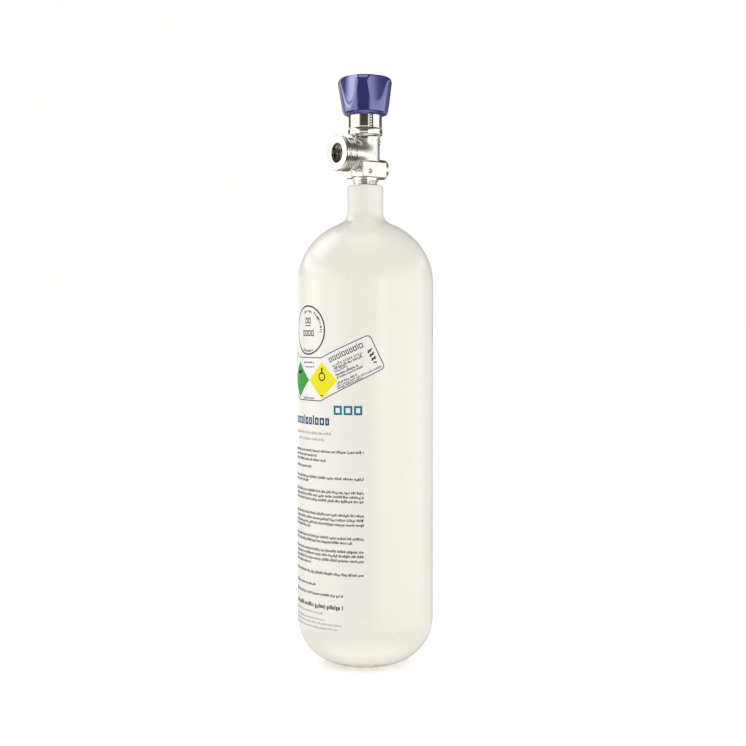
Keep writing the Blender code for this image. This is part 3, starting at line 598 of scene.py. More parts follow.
def make_looks():
    return {
        "enamel": enamel_look(),
        "forged": chrome_look("bright_plate_forged", roughness=(0.24, 0.36)),
        "turned": chrome_look("bright_plate_turned", "Z"),
        "bonnet": bonnet_look(),
        "outlet": chrome_look("bright_plate_outlet", "Y", OUTLET_Z, (0.06, 0.16)),
        # Darker plate colour for pieces deep in the outlet bore: painted shade of the bore's dark inside.
        "shaded": chrome_look("bright_plate_shaded", "Y", OUTLET_Z, (0.08, 0.18), (0.36, 0.37, 0.31)),
        # Dark brass colour for the piston deep in the outlet bore: painted shade of the bore's dark
        # inside.
        "shade_dark_brass": metal_look("brass_darkened_as_painted_shade", (0.3, 0.28, 0.2), (0.2, 0.19, 0.14), 0.3, 600),
        "brass": metal_look("turned_brass", (0.72, 0.53, 0.24), (0.6, 0.42, 0.18), 0.25, 240),
        "bronze": metal_look("sintered_bronze", (0.45, 0.3, 0.16), (0.3, 0.19, 0.1), 0.7, 900, 0.8),
        "copper": metal_look("soft_copper", (0.8, 0.42, 0.27), (0.62, 0.3, 0.19), 0.35, 260),
        "steel": metal_look("spring_steel", (0.56, 0.56, 0.57), (0.42, 0.42, 0.44), 0.28, 400),
        "ptfe": soft_look("white_ptfe", (0.86, 0.86, 0.84), (0.8, 0.8, 0.78), 0.5, 300),
        "nylon": soft_look("natural_nylon", (0.84, 0.8, 0.68), (0.76, 0.71, 0.58), 0.45, 300),
        "rubber": soft_look("black_rubber", (0.03, 0.03, 0.03), (0.05, 0.05, 0.048), 0.65, 500, 0.3),
        "blue": soft_look(
            "blue_plastic", (0.022, 0.02, 0.16), (0.018, 0.016, 0.135), 0.13, 120, 0.05,
            IOR=2.6, Specular_Tint=(0.62, 0.64, 1, 1), Coat_Weight=0.25, Coat_Roughness=0.05,
        ),
        "film": soft_look("clear_backed_film", (0.865, 0.84, 0.775), (0.855, 0.825, 0.755), 0.3, 90, 0.04),
        "white_film": soft_look("white_film", (0.875, 0.85, 0.81), (0.865, 0.84, 0.795), 0.3, 90, 0.04),
    }


def ink_look(name, colour):
    """Printing ink, a little uneven like a screen print."""
    paler = tuple(min(1, part * 1.15 + 0.004) for part in colour)
    return soft_look(name, colour, paler, 0.5, 700, 0.08, Specular_IOR_Level=0.1)


# ---------------------------------------------------------------- bottle


def bottle_profile():
    """Inside from the middle of the base up to the neck, then outside down to the base again."""
    base_middle = (FLAT_RADIUS, BASE_HEIGHT)
    shoulder_middle = (SHOULDER_INSET, SHOULDER_START)
    inner = WALL_RADIUS - WALL_THICKNESS
    inner_base = arc(base_middle, inner - FLAT_RADIUS, BASE_HEIGHT - BASE_THICKNESS, -90, 0, 24)
    inner_rise = SHOULDER_HEIGHT - SHOULDER_THICKNESS
    inner_shoulder = arc(shoulder_middle, inner - SHOULDER_INSET, inner_rise, 0, 78, 24)
    bore_foot = inner_shoulder[-1][1] + 1.5 * MM
    bore = [(stem_radius(height) + NECK_BORE_PLAY, height) for height in (bore_foot, NECK_TOP)]
    lip = arc((NECK_RADIUS - NECK_LIP, NECK_TOP - NECK_LIP), NECK_LIP, NECK_LIP, 90, 0, 10)
    rise = WALL_RADIUS - SHOULDER_INSET
    shoulder = arc(shoulder_middle, rise, SHOULDER_HEIGHT, 68, 0, 48)
    fillet_middle = (NECK_RADIUS + NECK_FILLET, shoulder[0][1] + NECK_FILLET * 1.05)
    fillet = arc(fillet_middle, NECK_FILLET, NECK_FILLET, 180, 236, 14)
    joined = [*lip, *fillet, *shoulder]
    base = arc(base_middle, WALL_RADIUS - FLAT_RADIUS, BASE_HEIGHT, 0, -90, 48)
    return [(0, BASE_THICKNESS), *inner_base, *inner_shoulder, *bore, *joined, *base, (0, 0)]


def stem_radius(height):
    """Radius of the tapered inlet thread at a height."""
    return STEM_TOP_RADIUS - (STEM_TOP - height) * STEM_TAPER


def make_bottle(looks):
    bottle = turned("bottle_enamel", bottle_profile(), looks["enamel"], segments=224)
    settle(bottle, "bottle", "white_paint", "cylinder_shell")


# ---------------------------------------------------------------- valve


def forging_field(x, y, z):
    """Column, wrench block, outlet boss and back boss, blended like a forging, with their bores."""
    column = rod_field(x, y, z, COLUMN_RADIUS, BLOCK_BOTTOM + 1 * MM, COLLAR_BOTTOM, 0.5 * MM)
    low = (-BLOCK_HALF_WIDTH, BLOCK_FRONT, BLOCK_BOTTOM)
    high = (BLOCK_HALF_WIDTH, BLOCK_BACK, BLOCK_TOP)
    block = block_field(x, y, z, low, high, 0.8 * MM)
    back = rod_field(x, z - BACK_BOSS_Z, y, BACK_BOSS_RADIUS, 0, BACK_BOSS_END, 1.1 * MM)
    outlet_start = -(OUTLET_THREAD_START + 1 * MM)
    outlet = rod_field(x, z - OUTLET_Z, y, OUTLET_BOSS_RADIUS, outlet_start, 0, 0.3 * MM)
    solid = smooth_join(column, outlet, 2.6 * MM)
    solid = smooth_join(solid, block, 0.7 * MM)
    solid = smooth_join(solid, back, 0.5 * MM)
    px, py, pz = PUNCH_MARK
    punch = np.sqrt((x - px - 0.9 * MM) ** 2 + (y - py) ** 2 + (z - pz) ** 2) - 1.9 * MM
    solid = smooth_cut(solid, punch, 0.2 * MM)
    chamber = rod_field(x, y, z, CHAMBER_RADIUS, CHAMBER_FLOOR, COLLAR_TOP, 0.3 * MM)
    seat_top = COLLAR_TOP + 5 * MM
    seat = rod_field(x, y, z, BONNET_BORE_RADIUS, BONNET_BORE_BOTTOM, seat_top, 0.3 * MM)
    bore_radius = OUTLET_BORE_RADIUS + 0.25 * MM
    bore = rod_field(x, z - OUTLET_Z, y, bore_radius, -OUTLET_FACE, -OUTLET_SEAT, 0.3 * MM)
    start, end = LOCK_SCREW_START - 0.3 * MM, LOCK_SCREW_END + 2 * MM
    bore_radius = LOCK_SCREW_RADIUS + 0.3 * MM
    screw_bore = rod_field(x, z - LOCK_SCREW_Z, y, bore_radius, start, end, 0.1 * MM)
    for hole in (chamber, seat, bore, screw_bore):
        solid = smooth_cut(solid, hole, 0.4 * MM)
    return solid


def thread(start, end, pitch, depth):
    """Radius change of a screw thread between two heights, which fades out at both ends."""

    def swell(angle, height, radius):
        turn = height / pitch - angle / math.tau
        ridge = np.abs((turn % 1) * 2 - 1)
        ridge = np.clip((ridge - THREAD_FLAT) / (1 - 2 * THREAD_FLAT), 0, 1)
        fade_in = np.clip((height - start) / pitch * THREAD_FADE, 0, 1)
        fade_out = np.clip((end - height) / pitch * THREAD_FADE, 0, 1)
        return -depth * ridge * fade_in * fade_out

    return swell


def fine_steps(first, last, count):
    """Points on a straight line between two profile points, both included."""
    shares = [i / count for i in range(count + 1)]
    return [tuple(a + (b - a) * share for a, b in zip(first, last)) for share in shares]


def make_valve(looks):
    margin = 1.5 * MM
    reach = BLOCK_HALF_WIDTH + margin
    low = (-reach, -(OUTLET_THREAD_START + 2 * margin), BLOCK_BOTTOM - margin)
    high = (reach, BACK_BOSS_END + margin, COLLAR_BOTTOM + margin)
    forging = sculpted("valve_forging", forging_field, low, high, 0.33 * MM, looks["forged"])
    settle(forging, "bottle", "plated_brass", "valve_body")

    foot = COLLAR_BOTTOM - 5 * MM
    profile = [
        (BONNET_BORE_RADIUS, COLLAR_TOP),
        (COLLAR_RADIUS, COLLAR_TOP),
        (COLLAR_RADIUS, COLLAR_BOTTOM),
        (COLUMN_RADIUS + 0.9 * MM, COLLAR_BOTTOM - 0.5 * MM),
        (COLUMN_RADIUS + 0.25 * MM, COLLAR_BOTTOM - 1.6 * MM),
        (COLUMN_RADIUS, COLLAR_BOTTOM - 3.2 * MM),
        (COLUMN_RADIUS - 0.4 * MM, foot),
        (BONNET_BORE_RADIUS, foot),
    ]
    profile = soften(profile, 0.45 * MM, closed=True)
    collar = turned("valve_collar", profile, looks["turned"], closed=True)
    settle(collar, "bottle", "plated_brass")

    make_outlet(looks)
    make_retainer(looks)
    make_piston(looks)
    make_lock_screw(looks)
    make_inlet_stem(looks)
    make_bonnet(looks)


def make_outlet(looks):
    """Threaded outlet: face ring with a groove behind it, thread, relief and bore."""
    crest = OUTLET_THREAD_RADIUS
    bore = OUTLET_BORE_RADIUS
    groove = OUTLET_FACE - 2.3 * MM
    thread_end = groove - 0.5 * MM
    relief_end = OUTLET_THREAD_START + 0.9 * MM
    front = [
        (bore, OUTLET_FACE),
        (crest - 0.9 * MM, OUTLET_FACE),
        (crest - 0.1 * MM, OUTLET_FACE - 0.8 * MM),
        (crest - 0.1 * MM, groove + 0.35 * MM),
        (crest - 0.8 * MM, groove + 0.2 * MM),
        (crest - 0.8 * MM, groove - 0.2 * MM),
        (crest, groove - 0.35 * MM),
    ]
    threaded = fine_steps((crest, thread_end), (crest, relief_end), 76)
    back = [
        (crest - 1.1 * MM, OUTLET_THREAD_START),
        (bore + 0.6 * MM, OUTLET_THREAD_START),
        (bore + 0.6 * MM, OUTLET_SEAT),
        (bore, OUTLET_SEAT),
        (bore, OUTLET_FACE - 3.5 * MM),
    ]
    outlet = turned(
        "outlet_thread",
        soften(front, 0.22 * MM) + threaded + back,
        looks["outlet"],
        segments=192,
        closed=True,
        lay=along_outlet,
        swell=thread(relief_end, thread_end, OUTLET_PITCH, 1.0 * MM),
    )
    settle(outlet, "bottle", "plated_brass")
    # A disc in the darker plate closes the bore's far end: painted shade at the bottom of the bore.
    top, bottom = OUTLET_SEAT + 0.2 * MM, OUTLET_SEAT - 0.8 * MM
    floor = [(0, top), (bore + 0.3 * MM, top), (bore + 0.3 * MM, bottom), (0, bottom)]
    seat = turned("outlet_floor", floor, looks["shaded"], segments=64, lay=along_outlet)
    settle(seat, "bottle", "plated_brass")


def make_retainer(looks):
    """Screw ring in the outlet's bore, with a slot across its face."""
    hole = PISTON_STEM_RADIUS + 0.3 * MM
    section = [
        (hole, RETAINER_END),
        (RETAINER_RADIUS, RETAINER_END),
        (RETAINER_RADIUS, RETAINER_START),
        (hole, RETAINER_START),
    ]
    section = soften(section, 0.3 * MM, closed=True)
    slot_low = (-2 * RETAINER_RADIUS, -RETAINER_END - 1 * MM, OUTLET_Z - 1.2 * MM)
    slot_high = (2 * RETAINER_RADIUS, -RETAINER_END + 1.4 * MM, OUTLET_Z + 1.2 * MM)

    def retainer_field(x, y, z):
        body = outline_field(np.hypot(x, z - OUTLET_Z), -y, section)
        slot = block_field(x, y, z, slot_low, slot_high, 0.05 * MM)
        return smooth_cut(body, slot, 0.25 * MM)

    edge = RETAINER_RADIUS + 0.5 * MM
    low = (-edge, -RETAINER_END - 0.5 * MM, OUTLET_Z - edge)
    high = (edge, -RETAINER_START + 0.5 * MM, OUTLET_Z + edge)
    # The ring's darker plate is painted shade inside the outlet bore.
    retainer = sculpted("retainer_ring", retainer_field, low, high, 0.14 * MM, looks["shaded"])
    settle(retainer, "bottle", "plated_brass", "outlet_retainer")


def make_piston(looks):
    """Piston of the residual pressure valve, with a dimple in its nose and a flange at its foot."""
    stem = PISTON_STEM_RADIUS
    dimple = PISTON_END - 0.7 * MM
    flange_end = PISTON_START + 1.4 * MM
    profile = [
        (0, dimple),
        (stem * 0.42, dimple),
        (stem * 0.5, PISTON_END),
        (stem, PISTON_END),
        (stem, flange_end),
        (PISTON_FLANGE_RADIUS, flange_end),
        (PISTON_FLANGE_RADIUS, PISTON_START),
        (0, PISTON_START),
    ]
    profile = soften(profile, 0.3 * MM)
    # Its dark brass is painted shade for the inside of the outlet bore.
    piston = turned("piston_turned", profile, looks["shade_dark_brass"], segments=72, lay=along_outlet)
    settle(piston, "piston", "turned_brass", "pressure_piston")


def make_lock_screw(looks):
    length = LOCK_SCREW_END - LOCK_SCREW_START
    dome = ((0, 0), (0.3, 0.03), (0.6, 0.1), (0.86, 0.21), (1, 0.38), (1, 1), (0, 1))
    profile = [(LOCK_SCREW_RADIUS * out, LOCK_SCREW_END - drop * length) for out, drop in dome]
    screw = turned("lock_screw_dome", profile, looks["turned"], segments=48, lay=along_lock_screw)
    settle(screw, "bottle", "plated_brass", "bonnet_lock_screw")


def make_inlet_stem(looks):
    """Tapered thread that screws into the neck, with its plain collar under the block."""
    collar_radius = 9.6 * MM
    thread_top = STEM_TOP - 1.2 * MM
    thread_foot = STEM_BOTTOM + 1 * MM
    top = [
        (0, BLOCK_BOTTOM + 3 * MM),
        (collar_radius, BLOCK_BOTTOM + 3 * MM),
        (collar_radius, thread_top + 0.6 * MM),
        (stem_radius(thread_top), thread_top + 0.2 * MM),
    ]
    first = (stem_radius(thread_top), thread_top)
    last = (stem_radius(thread_foot), thread_foot)
    foot = [(stem_radius(STEM_BOTTOM) - 0.8 * MM, STEM_BOTTOM), (0, STEM_BOTTOM)]
    profile = soften(top, 0.2 * MM) + fine_steps(first, last, 220) + foot
    swell = thread(thread_foot, thread_top, STEM_PITCH, 0.7 * MM)
    stem = turned("inlet_stem", profile, looks["turned"], segments=144, swell=swell)
    settle(stem, "bottle", "plated_brass")


def make_bonnet(looks):
    """Polished bonnet with a soft rim above and below."""
    rim = COLLAR_TOP + 0.3 * MM
    foot_radius = BONNET_BORE_RADIUS - 0.3 * MM
    outline = [
        (SPINDLE_BORE_RADIUS, BONNET_TOP),
        (BONNET_RADIUS, BONNET_TOP),
        (BONNET_RADIUS, BONNET_TOP - 1.2 * MM),
        (BONNET_RADIUS, rim + 1.4 * MM),
        (BONNET_RADIUS, rim + 0.5 * MM),
        (BONNET_RADIUS - 0.5 * MM, rim),
        (foot_radius, rim),
        (foot_radius, BONNET_FOOT),
        (SPINDLE_BORE_RADIUS + 2.4 * MM, BONNET_FOOT),
        (SPINDLE_BORE_RADIUS + 2.4 * MM, BONNET_FOOT + 4.4 * MM),
        (SPINDLE_BORE_RADIUS, BONNET_FOOT + 4.4 * MM),
    ]
    outline = soften(outline, 0.6 * MM, steps=4, closed=True)
    bonnet = turned("bonnet_polished", outline, looks["bonnet"], segments=160, closed=True)
    settle(bonnet, "bottle", "plated_brass", "bonnet")


# ---------------------------------------------------------------- handwheel


def wheel_outline():
    corner_middle = (WHEEL_RADIUS - WHEEL_CORNER_WIDTH, WHEEL_WIDEST)
    corner = arc(corner_middle, WHEEL_CORNER_WIDTH, WHEEL_CORNER_HEIGHT, 78, 0, 12)
    outline = [
        (WHEEL_CAP_SEAT_RADIUS, WHEEL_TOP),
        *corner,
        (WHEEL_BOTTOM_RADIUS, WHEEL_BOTTOM_EDGE),
        (WHEEL_BOTTOM_RADIUS - 0.7 * MM, WHEEL_BOTTOM_EDGE - 1.1 * MM),
        (WHEEL_FOOT_RADIUS, WHEEL_FOOT),
        (WHEEL_RECESS_RADIUS, WHEEL_FOOT),
        (WHEEL_RECESS_RADIUS, WHEEL_RECESS_TOP),
        (WHEEL_HUB_RADIUS, WHEEL_RECESS_TOP),
        (WHEEL_HUB_RADIUS, WHEEL_POCKET_BOTTOM),
        (WHEEL_POCKET_RADIUS, WHEEL_POCKET_BOTTOM),
        (WHEEL_POCKET_RADIUS, WHEEL_CAP_SEAT),
        (WHEEL_CAP_SEAT_RADIUS, WHEEL_CAP_SEAT),
    ]
    return soften(outline, 0.35 * MM, closed=True)


def make_handwheel(looks):
    outline = wheel_outline()
    scoops = [FIRST_RIB + (i + 0.5) * math.tau / SCOOP_COUNT for i in range(SCOOP_COUNT)]

    def wheel_field(x, y, z):
        solid = outline_field(np.hypot(x, y), z, outline)
        for turn in scoops:
            out = x * math.cos(turn) + y * math.sin(turn)
            side = -x * math.sin(turn) + y * math.cos(turn)
            reach = SCOOP_FOOT_REACH - (z - SCOOP_FOOT) * math.tan(SCOOP_LEAN)
            depth = (out - reach) * math.cos(SCOOP_LEAN) - SCOOP_RADIUS
            scoop = np.hypot(depth, side) - SCOOP_RADIUS
            solid = smooth_cut(solid, scoop, SCOOP_EDGE)
        return solid

    reach = WHEEL_RADIUS + 1 * MM
    low = (-reach, -reach, WHEEL_FOOT - 1 * MM)
    high = (reach, reach, WHEEL_TOP + 1 * MM)
    wheel = sculpted("handwheel_moulded", wheel_field, low, high, 0.3 * MM, looks["blue"])
    settle(wheel, "wheel", "blue_plastic", "handwheel")

    cap = [
        (0, CAP_TOP - 0.35 * MM),
        (CAP_RADIUS * 0.5, CAP_TOP - 0.28 * MM),
        (CAP_RADIUS * 0.84, CAP_TOP - 0.02 * MM),
        (CAP_RADIUS * 0.9, CAP_TOP),
        (CAP_RADIUS, CAP_TOP - 0.1 * MM),
        (CAP_RADIUS, CAP_BOTTOM),
        (0, CAP_BOTTOM),
    ]
    disc = turned("wheel_cap_disc", soften(cap, 0.25 * MM), looks["blue"], segments=96)
    settle(disc, "wheel", "blue_plastic", "wheel_cap")


# ---------------------------------------------------------------- labels


def wall_radius(z):
    """Outer radius of the bottle's wall at a height, below the shoulder."""
    drop = max(0, (BASE_HEIGHT - z) / BASE_HEIGHT)
    return FLAT_RADIUS + (WALL_RADIUS - FLAT_RADIUS) * math.sqrt(max(0, 1 - drop**2))


def on_wall(s, z, lift):
    angle = s / WALL_RADIUS
    radius = wall_radius(z) + lift
    return (radius * math.sin(angle), -radius * math.cos(angle), z)


def directions(lean):
    """Unit vectors along and across a line that leans by an angle in radians."""
    return Vector((math.cos(lean), math.sin(lean))), Vector((-math.sin(lean), math.cos(lean)))


def circle(middle, radius, count=96):
    return arc(middle, radius, radius, 0, 360, count)[:-1]


class Print:
    """Plain marks printed on the wall, gathered into one thin raised mesh."""

    def __init__(self, lift):
        self.low = lift
        self.high = lift + INK_THICKNESS
        self.points = []
        self.faces = []

    def strip(self, first, second, closed=False):
        """A strip between two lines of (s, z) points that have the same number of points."""
        start = len(self.points)
        count = len(first)
        rows = ((first, self.low), (first, self.high), (second, self.high), (second, self.low))
        for line, lift in rows:
            self.points += [on_wall(s, z, lift) for s, z in line]
        for row in range(4):
            following = (row + 1) % 4
            for i in range(count if closed else count - 1):
                j = (i + 1) % count
                a, b = start + row * count + i, start + row * count + j
                c, d = start + following * count + j, start + following * count + i
                self.faces.append((a, b, c, d))
        if not closed:
            self.faces.append([start + row * count for row in range(4)])
            self.faces.append([start + row * count + count - 1 for row in (3, 2, 1, 0)])

    def bar(self, corner, length, height, lean=0.0, mirror=1):
        """A filled bar from its lower left corner, along a direction given in radians."""
        along, up = directions(lean)
        count = max(1, math.ceil(length / COLUMN))
        foot = [Vector(corner) + along * length * i / count for i in range(count + 1)]
        top = [point + up * height for point in foot]
        self.strip(*[[(mirror * point.x, point.y) for point in line] for line in (foot, top)])

    def ring(self, middle, outer, inner, count=96):
        self.strip(circle(middle, outer, count), circle(middle, inner, count), closed=True)

    def diamond(self, middle, half_width, half_height):
        columns = 2 * math.ceil(half_width / COLUMN)
        across = [-1 + 2 * i / columns for i in range(columns + 1)]
        rise = [half_height * max(0.01, 1 - abs(t)) for t in across]
        upper = [(middle[0] + t * half_width, middle[1] + up) for t, up in zip(across, rise)]
        lower = [(middle[0] + t * half_width, middle[1] - up) for t, up in zip(across, rise)]
        self.strip(lower, upper)

    def blank(self, corner, width, height, stroke, lean=0.0, mirror=1):
        """A hollow box, drawn with four strokes."""
        along, up = directions(lean)
        inner = width - 2 * stroke
        strokes = (
            (0, 0, stroke, height),
            (width - stroke, 0, stroke, height),
            (stroke, height - stroke, inner, stroke),
            (stroke, 0, inner, stroke),
        )
        for right, rise, length, tall in strokes:
            self.bar(Vector(corner) + along * right + up * rise, length, tall, lean, mirror)

    def heading(self, chance, corner, length, height, stroke, lean=0.0, mirror=1):
        """A line of large hollow boxes and tall bars in place of a title."""
        along = directions(lean)[0]
        at = 0.0
        while at < length:
            foot = Vector(corner) + along * at
            if chance.random() < 0.3:
                width = stroke
                self.bar(foot, stroke, height * 1.3, lean, mirror)
            else:
                width = height * chance.uniform(0.62, 0.85)
                self.blank(foot, width, height, stroke, lean, mirror)
            at += width + height * 0.2

    def words(self, chance, rows, lean=0.0, mirror=1):
        """Greeked words: rows of short upright bars with no lettering.

        Each row is (s, z, length, height, weight), with its sizes in millimetres.
        """
        along, up = directions(lean)
        for s, z, length, height, weight in rows:
            corner, length, height = Vector((s * MM, z * MM)), length * MM, height * MM
            at = 0.0
            while at < length:
                word = min(length, at + height * chance.uniform(1.6, 6.5))
                while at < word:
                    width = min(height * chance.uniform(0.3, 0.75), word - at)
                    tall = height * chance.choice((1, 1, 1, 1.35, 1.4))
                    foot = corner + along * at
                    if chance.random() < 0.12:
                        foot -= up * height * 0.35
                    self.bar(foot, width * (0.45 + weight * 0.5), tall, lean, mirror)
                    at += width + height * 0.16
                at = word + height * 0.55

    def piece(self, name, look):
        thing = finish_mesh(name, self.points, self.faces, look, sharp=20)
        return settle(thing, "bottle", "label_film")


def rolled_film(name, outline, look, node_name):
    """A thin film: its flat outline in (s, z) is cut into columns and laid on the wall."""
    shape = bmesh.new()
    face = shape.faces.new([shape.verts.new((s, 0, z)) for s, z in outline])
    grown = bmesh.ops.extrude_face_region(shape, geom=[face])["geom"]
    raised = [v for v in grown if isinstance(v, bmesh.types.BMVert)]
    bmesh.ops.translate(shape, vec=(0, -FILM_THICKNESS, 0), verts=raised)
    reach = max(abs(s) for s, _ in outline)
    columns = int(reach / COLUMN)
    cuts = [((i * COLUMN, 0, 0), (1, 0, 0)) for i in range(-columns, columns + 1)]
    cuts += [((0, 0, z * MM), (0, 0, 1)) for z in DOME_CUTS]
    for middle, direction in cuts:
        geometry = list(shape.verts) + list(shape.edges) + list(shape.faces)
        bmesh.ops.bisect_plane(shape, geom=geometry, plane_co=middle, plane_no=direction, dist=1e-6)
    for vertex in shape.verts:
        vertex.co = on_wall(vertex.co.x, vertex.co.z, FILM_LIFT - vertex.co.y)
    bmesh.ops.recalc_face_normals(shape, faces=shape.faces)
    mesh = bpy.data.meshes.new(name)
    shape.to_mesh(mesh)
    shape.free()
    mesh.shade_smooth()
    mesh.set_sharp_from_angle(angle=math.radians(30))
    return settle(placed(name, mesh, look), "bottle", "label_film", node_name)


def hazard_outline(inset=0.0):
    """The gas label: a middle panel with a wing that rises at each side, corners rounded."""
    right = [
        (HAZARD_MIDDLE_HALF_WIDTH, HAZARD_MIDDLE_BOTTOM),
        HAZARD_WING_BOTTOM,
        HAZARD_WING_TOP,
        (HAZARD_MIDDLE_HALF_WIDTH, HAZARD_MIDDLE_TOP),
    ]
    corners = right + [(-s, z) for s, z in reversed(right)]
    rounded = []
    for i, corner in enumerate(corners):
        here = Vector(corner)
        before = Vector(corners[i - 1]) - here
        after = Vector(corners[(i + 1) % len(corners)]) - here
        reach = 3.6 * MM if abs(corner[0]) > HAZARD_MIDDLE_HALF_WIDTH else 0.5 * MM
        start = here + before.normalized() * reach
        end = here + after.normalized() * reach
        rounded += bend(start, here, end, 5)
    inset_line = []
    for i, here in enumerate(rounded):
        run = rounded[(i + 1) % len(rounded)] - rounded[i - 1]
        run.normalize()
        inset_line.append((here.x - run.y * inset, here.y + run.x * inset))
    return inset_line


def divided(*lines):
    """Closed lines with as many points as each other, divided alike into columns or closer."""
    fine = [[] for _ in lines]
    for i in range(len(lines[0])):
        following = (i + 1) % len(lines[0])
        sides = [(Vector(line[i]), Vector(line[following])) for line in lines]
        count = max(1, math.ceil(max((b - a).length for a, b in sides) / COLUMN))
        for points, (a, b) in zip(fine, sides):
            points += [tuple(a.lerp(b, k / count)) for k in range(count)]
    return fine


def film_lift(level=0):
    return FILM_LIFT + FILM_THICKNESS + level * INK_THICKNESS


def make_stamp(looks, inks):
    """Round inspection label: a ring with plain marks inside, no lettering."""
    outline = circle((0, STAMP_Z), STAMP_RADIUS)
    rolled_film("stamp_film", outline, looks["film"], "test_date_label")
    chance = random.Random(7)
    marks = Print(film_lift())
    marks.ring((0, STAMP_Z), 17.8 * MM, 16.7 * MM)
    for s, z in ((-3.4, 4.7), (0.3, 4.7), (-6.9, -4.3), (-3.3, -4.3), (0.3, -4.3), (3.9, -4.3)):
        marks.blank((s * MM, STAMP_Z + z * MM), 2.9 * MM, 4.2 * MM, 0.8 * MM)
    marks.bar((-3.5 * MM, STAMP_Z + 2.8 * MM), 6.7 * MM, 0.7 * MM)
    for turn, last, radius in ((112, 70, 12.6), (62, -6, 13.2), (-68, -112, 14.2)):
        while turn > last:
            angle = math.radians(turn)
            foot = (radius * MM * math.cos(angle), STAMP_Z + radius * MM * math.sin(angle))
            marks.bar(foot, chance.uniform(0.5, 0.8) * MM, 1.7 * MM, angle - math.pi / 2)
            turn -= chance.choice((3.4, 4.2, 6.5))
    marks.piece("stamp_marks", inks["slate"])


def make_hazard_label(looks, inks):
    """White label with two diamonds and plain greeked lines on its wings."""
    rolled_film("hazard_film", hazard_outline(), looks["white_film"], "gas_label")
    border = Print(film_lift())
    outer, inner = divided(hazard_outline(0.1 * MM), hazard_outline(0.7 * MM))
    border.strip(outer, inner, closed=True)
    border.piece("hazard_border", inks["slate"])

    for name, s, half_width in (("green", -13.2, 14.4), ("yellow", 14.8, 12.9)):
        panel = Print(film_lift())
        panel.diamond((s * MM, DIAMOND_Z), half_width * MM, 13.2 * MM)
        panel.piece(f"{name}_diamond", inks[name])

    dark = Print(film_lift(1))
    dark.ring((14.8 * MM, DIAMOND_Z + 2.7 * MM), 3.1 * MM, 2.2 * MM, 40)
    dark.bar((14.1 * MM, DIAMOND_Z + 5.6 * MM), 1.4 * MM, 3.6 * MM)
    dark.bar((13.6 * MM, DIAMOND_Z - 11.0 * MM), 2.4 * MM, 0.6 * MM)
    dark.bar((-17.5 * MM, DIAMOND_Z + 3.2 * MM), 9 * MM, 2.3 * MM, math.radians(12))
    dark.piece("diamond_sign", inks["black"])

    chance = random.Random(11)
    heading = Print(film_lift())
    small = Print(film_lift())
    wing_rows = (
        (24.5, 219.8, 23.6, 1.7, 0.2), (25.4, 217.9, 23.2, 1.2, 0.9),
        (25.8, 216.0, 10.6, 1.1, 0.7), (26.8, 213.4, 18.1, 1.2, 0.9),
        (27.5, 211.4, 20.8, 1.1, 0.7), (28.0, 207.7, 15.9, 1.1, 0.7),
        (27.9, 205.7, 35.0, 1.1, 0.5), (28.3, 204.2, 20.0, 1.0, 0.7),
    )
    for mirror in (1, -1):
        title = (21.9 * MM, 223.0 * MM)
        heading.heading(chance, title, 28 * MM, 3.4 * MM, 0.62 * MM, WING_LEAN, mirror)
        small.words(chance, wing_rows, WING_LEAN, mirror)
        sign = Vector((49.6 * MM, 231.0 * MM))
        down = Vector((4.9, -9.4)).normalized()
        for step, length in enumerate((2.6, 4.2, 3.0, 4.4, 3.2, 4.0, 2.4)):
            foot = sign + down * step * 1.5 * MM
            swing = 0.5 if step % 2 else -0.35
            heading.bar(foot, length * MM, 1.0 * MM, WING_LEAN + swing, mirror)
    middle_rows = (
        (-6, 222.3, 13.2, 1.0, 0.9), (-3.5, 219.2, 10.8, 0.9, 0.8), (-6, 196.7, 13, 1.1, 0.9),
    )
    small.words(chance, middle_rows)
    heading.piece("hazard_heading", inks["brown"])
    small.piece("hazard_lines", inks["brown"])


def make_info_label(looks, inks):
    """Large label: coloured bars, a heading, and paragraphs of greeked lines."""
    corners = ((-1, INFO_BOTTOM), (1, INFO_BOTTOM), (1, INFO_TOP), (-1, INFO_TOP))
    outline = [(side * INFO_HALF_WIDTH, z) for side, z in corners]
    rolled_film("info_film", outline, looks["film"], "info_label")
    chance = random.Random(23)

    teal = Print(film_lift())
    for s, width in ((24.9, 6.3), (32.5, 6.4), (40.0, 5.9)):
        teal.blank((s * MM, 186.2 * MM), width * MM, 6.5 * MM, 1.5 * MM)
    teal.piece("teal_bars", inks["teal"])

    blue = Print(film_lift())
    blue.heading(chance, (-24.5 * MM, 178.4 * MM), 43 * MM, 5.2 * MM, 1.3 * MM)
    blue.piece("blue_heading", inks["navy"])

    grey = Print(film_lift())
    feet = ((43.2, 15.8), (38.7, 17.3), (35.8, 30.7), (32.7, 28))
    grey.words(chance, ((-23, 171.6, 46, 1.5, 0.3), (-17, 167.2, 34, 1.4, 0.3)))
    grey.words(chance, [(-47, z, 47 + end, 1.0, 0.3) for z, end in feet])
    grey.piece("grey_lines", inks["grey"])

    # Height of each line's foot, and where the line ends
    lines = (
        (158.9, 47), (155.5, 9.5), (152.4, 18.4), (147.3, 4.6), (140.1, 47), (137.3, 0.5),
        (130.3, 47), (127.2, 47), (124.1, 47), (114.2, 47), (110.8, 47), (107.5, 47),
        (104.7, 2.8), (97.7, 47), (94.6, 38.6), (88.4, 47), (85.2, 47), (81.9, 47),
        (78.7, 3.4), (72.0, 47), (63.1, 9), (56.6, 32),
    )
    text = Print(film_lift())
    text.words(chance, [(-47, z, 47 + end, 1.4, 0.8) for z, end in lines])
    text.piece("body_lines", inks["black"])

    bold = Print(film_lift())
    bold.words(chance, [(-47, 47.6, 79, 2.2, 0.9)])
    bold.piece("bold_line", inks["black"])


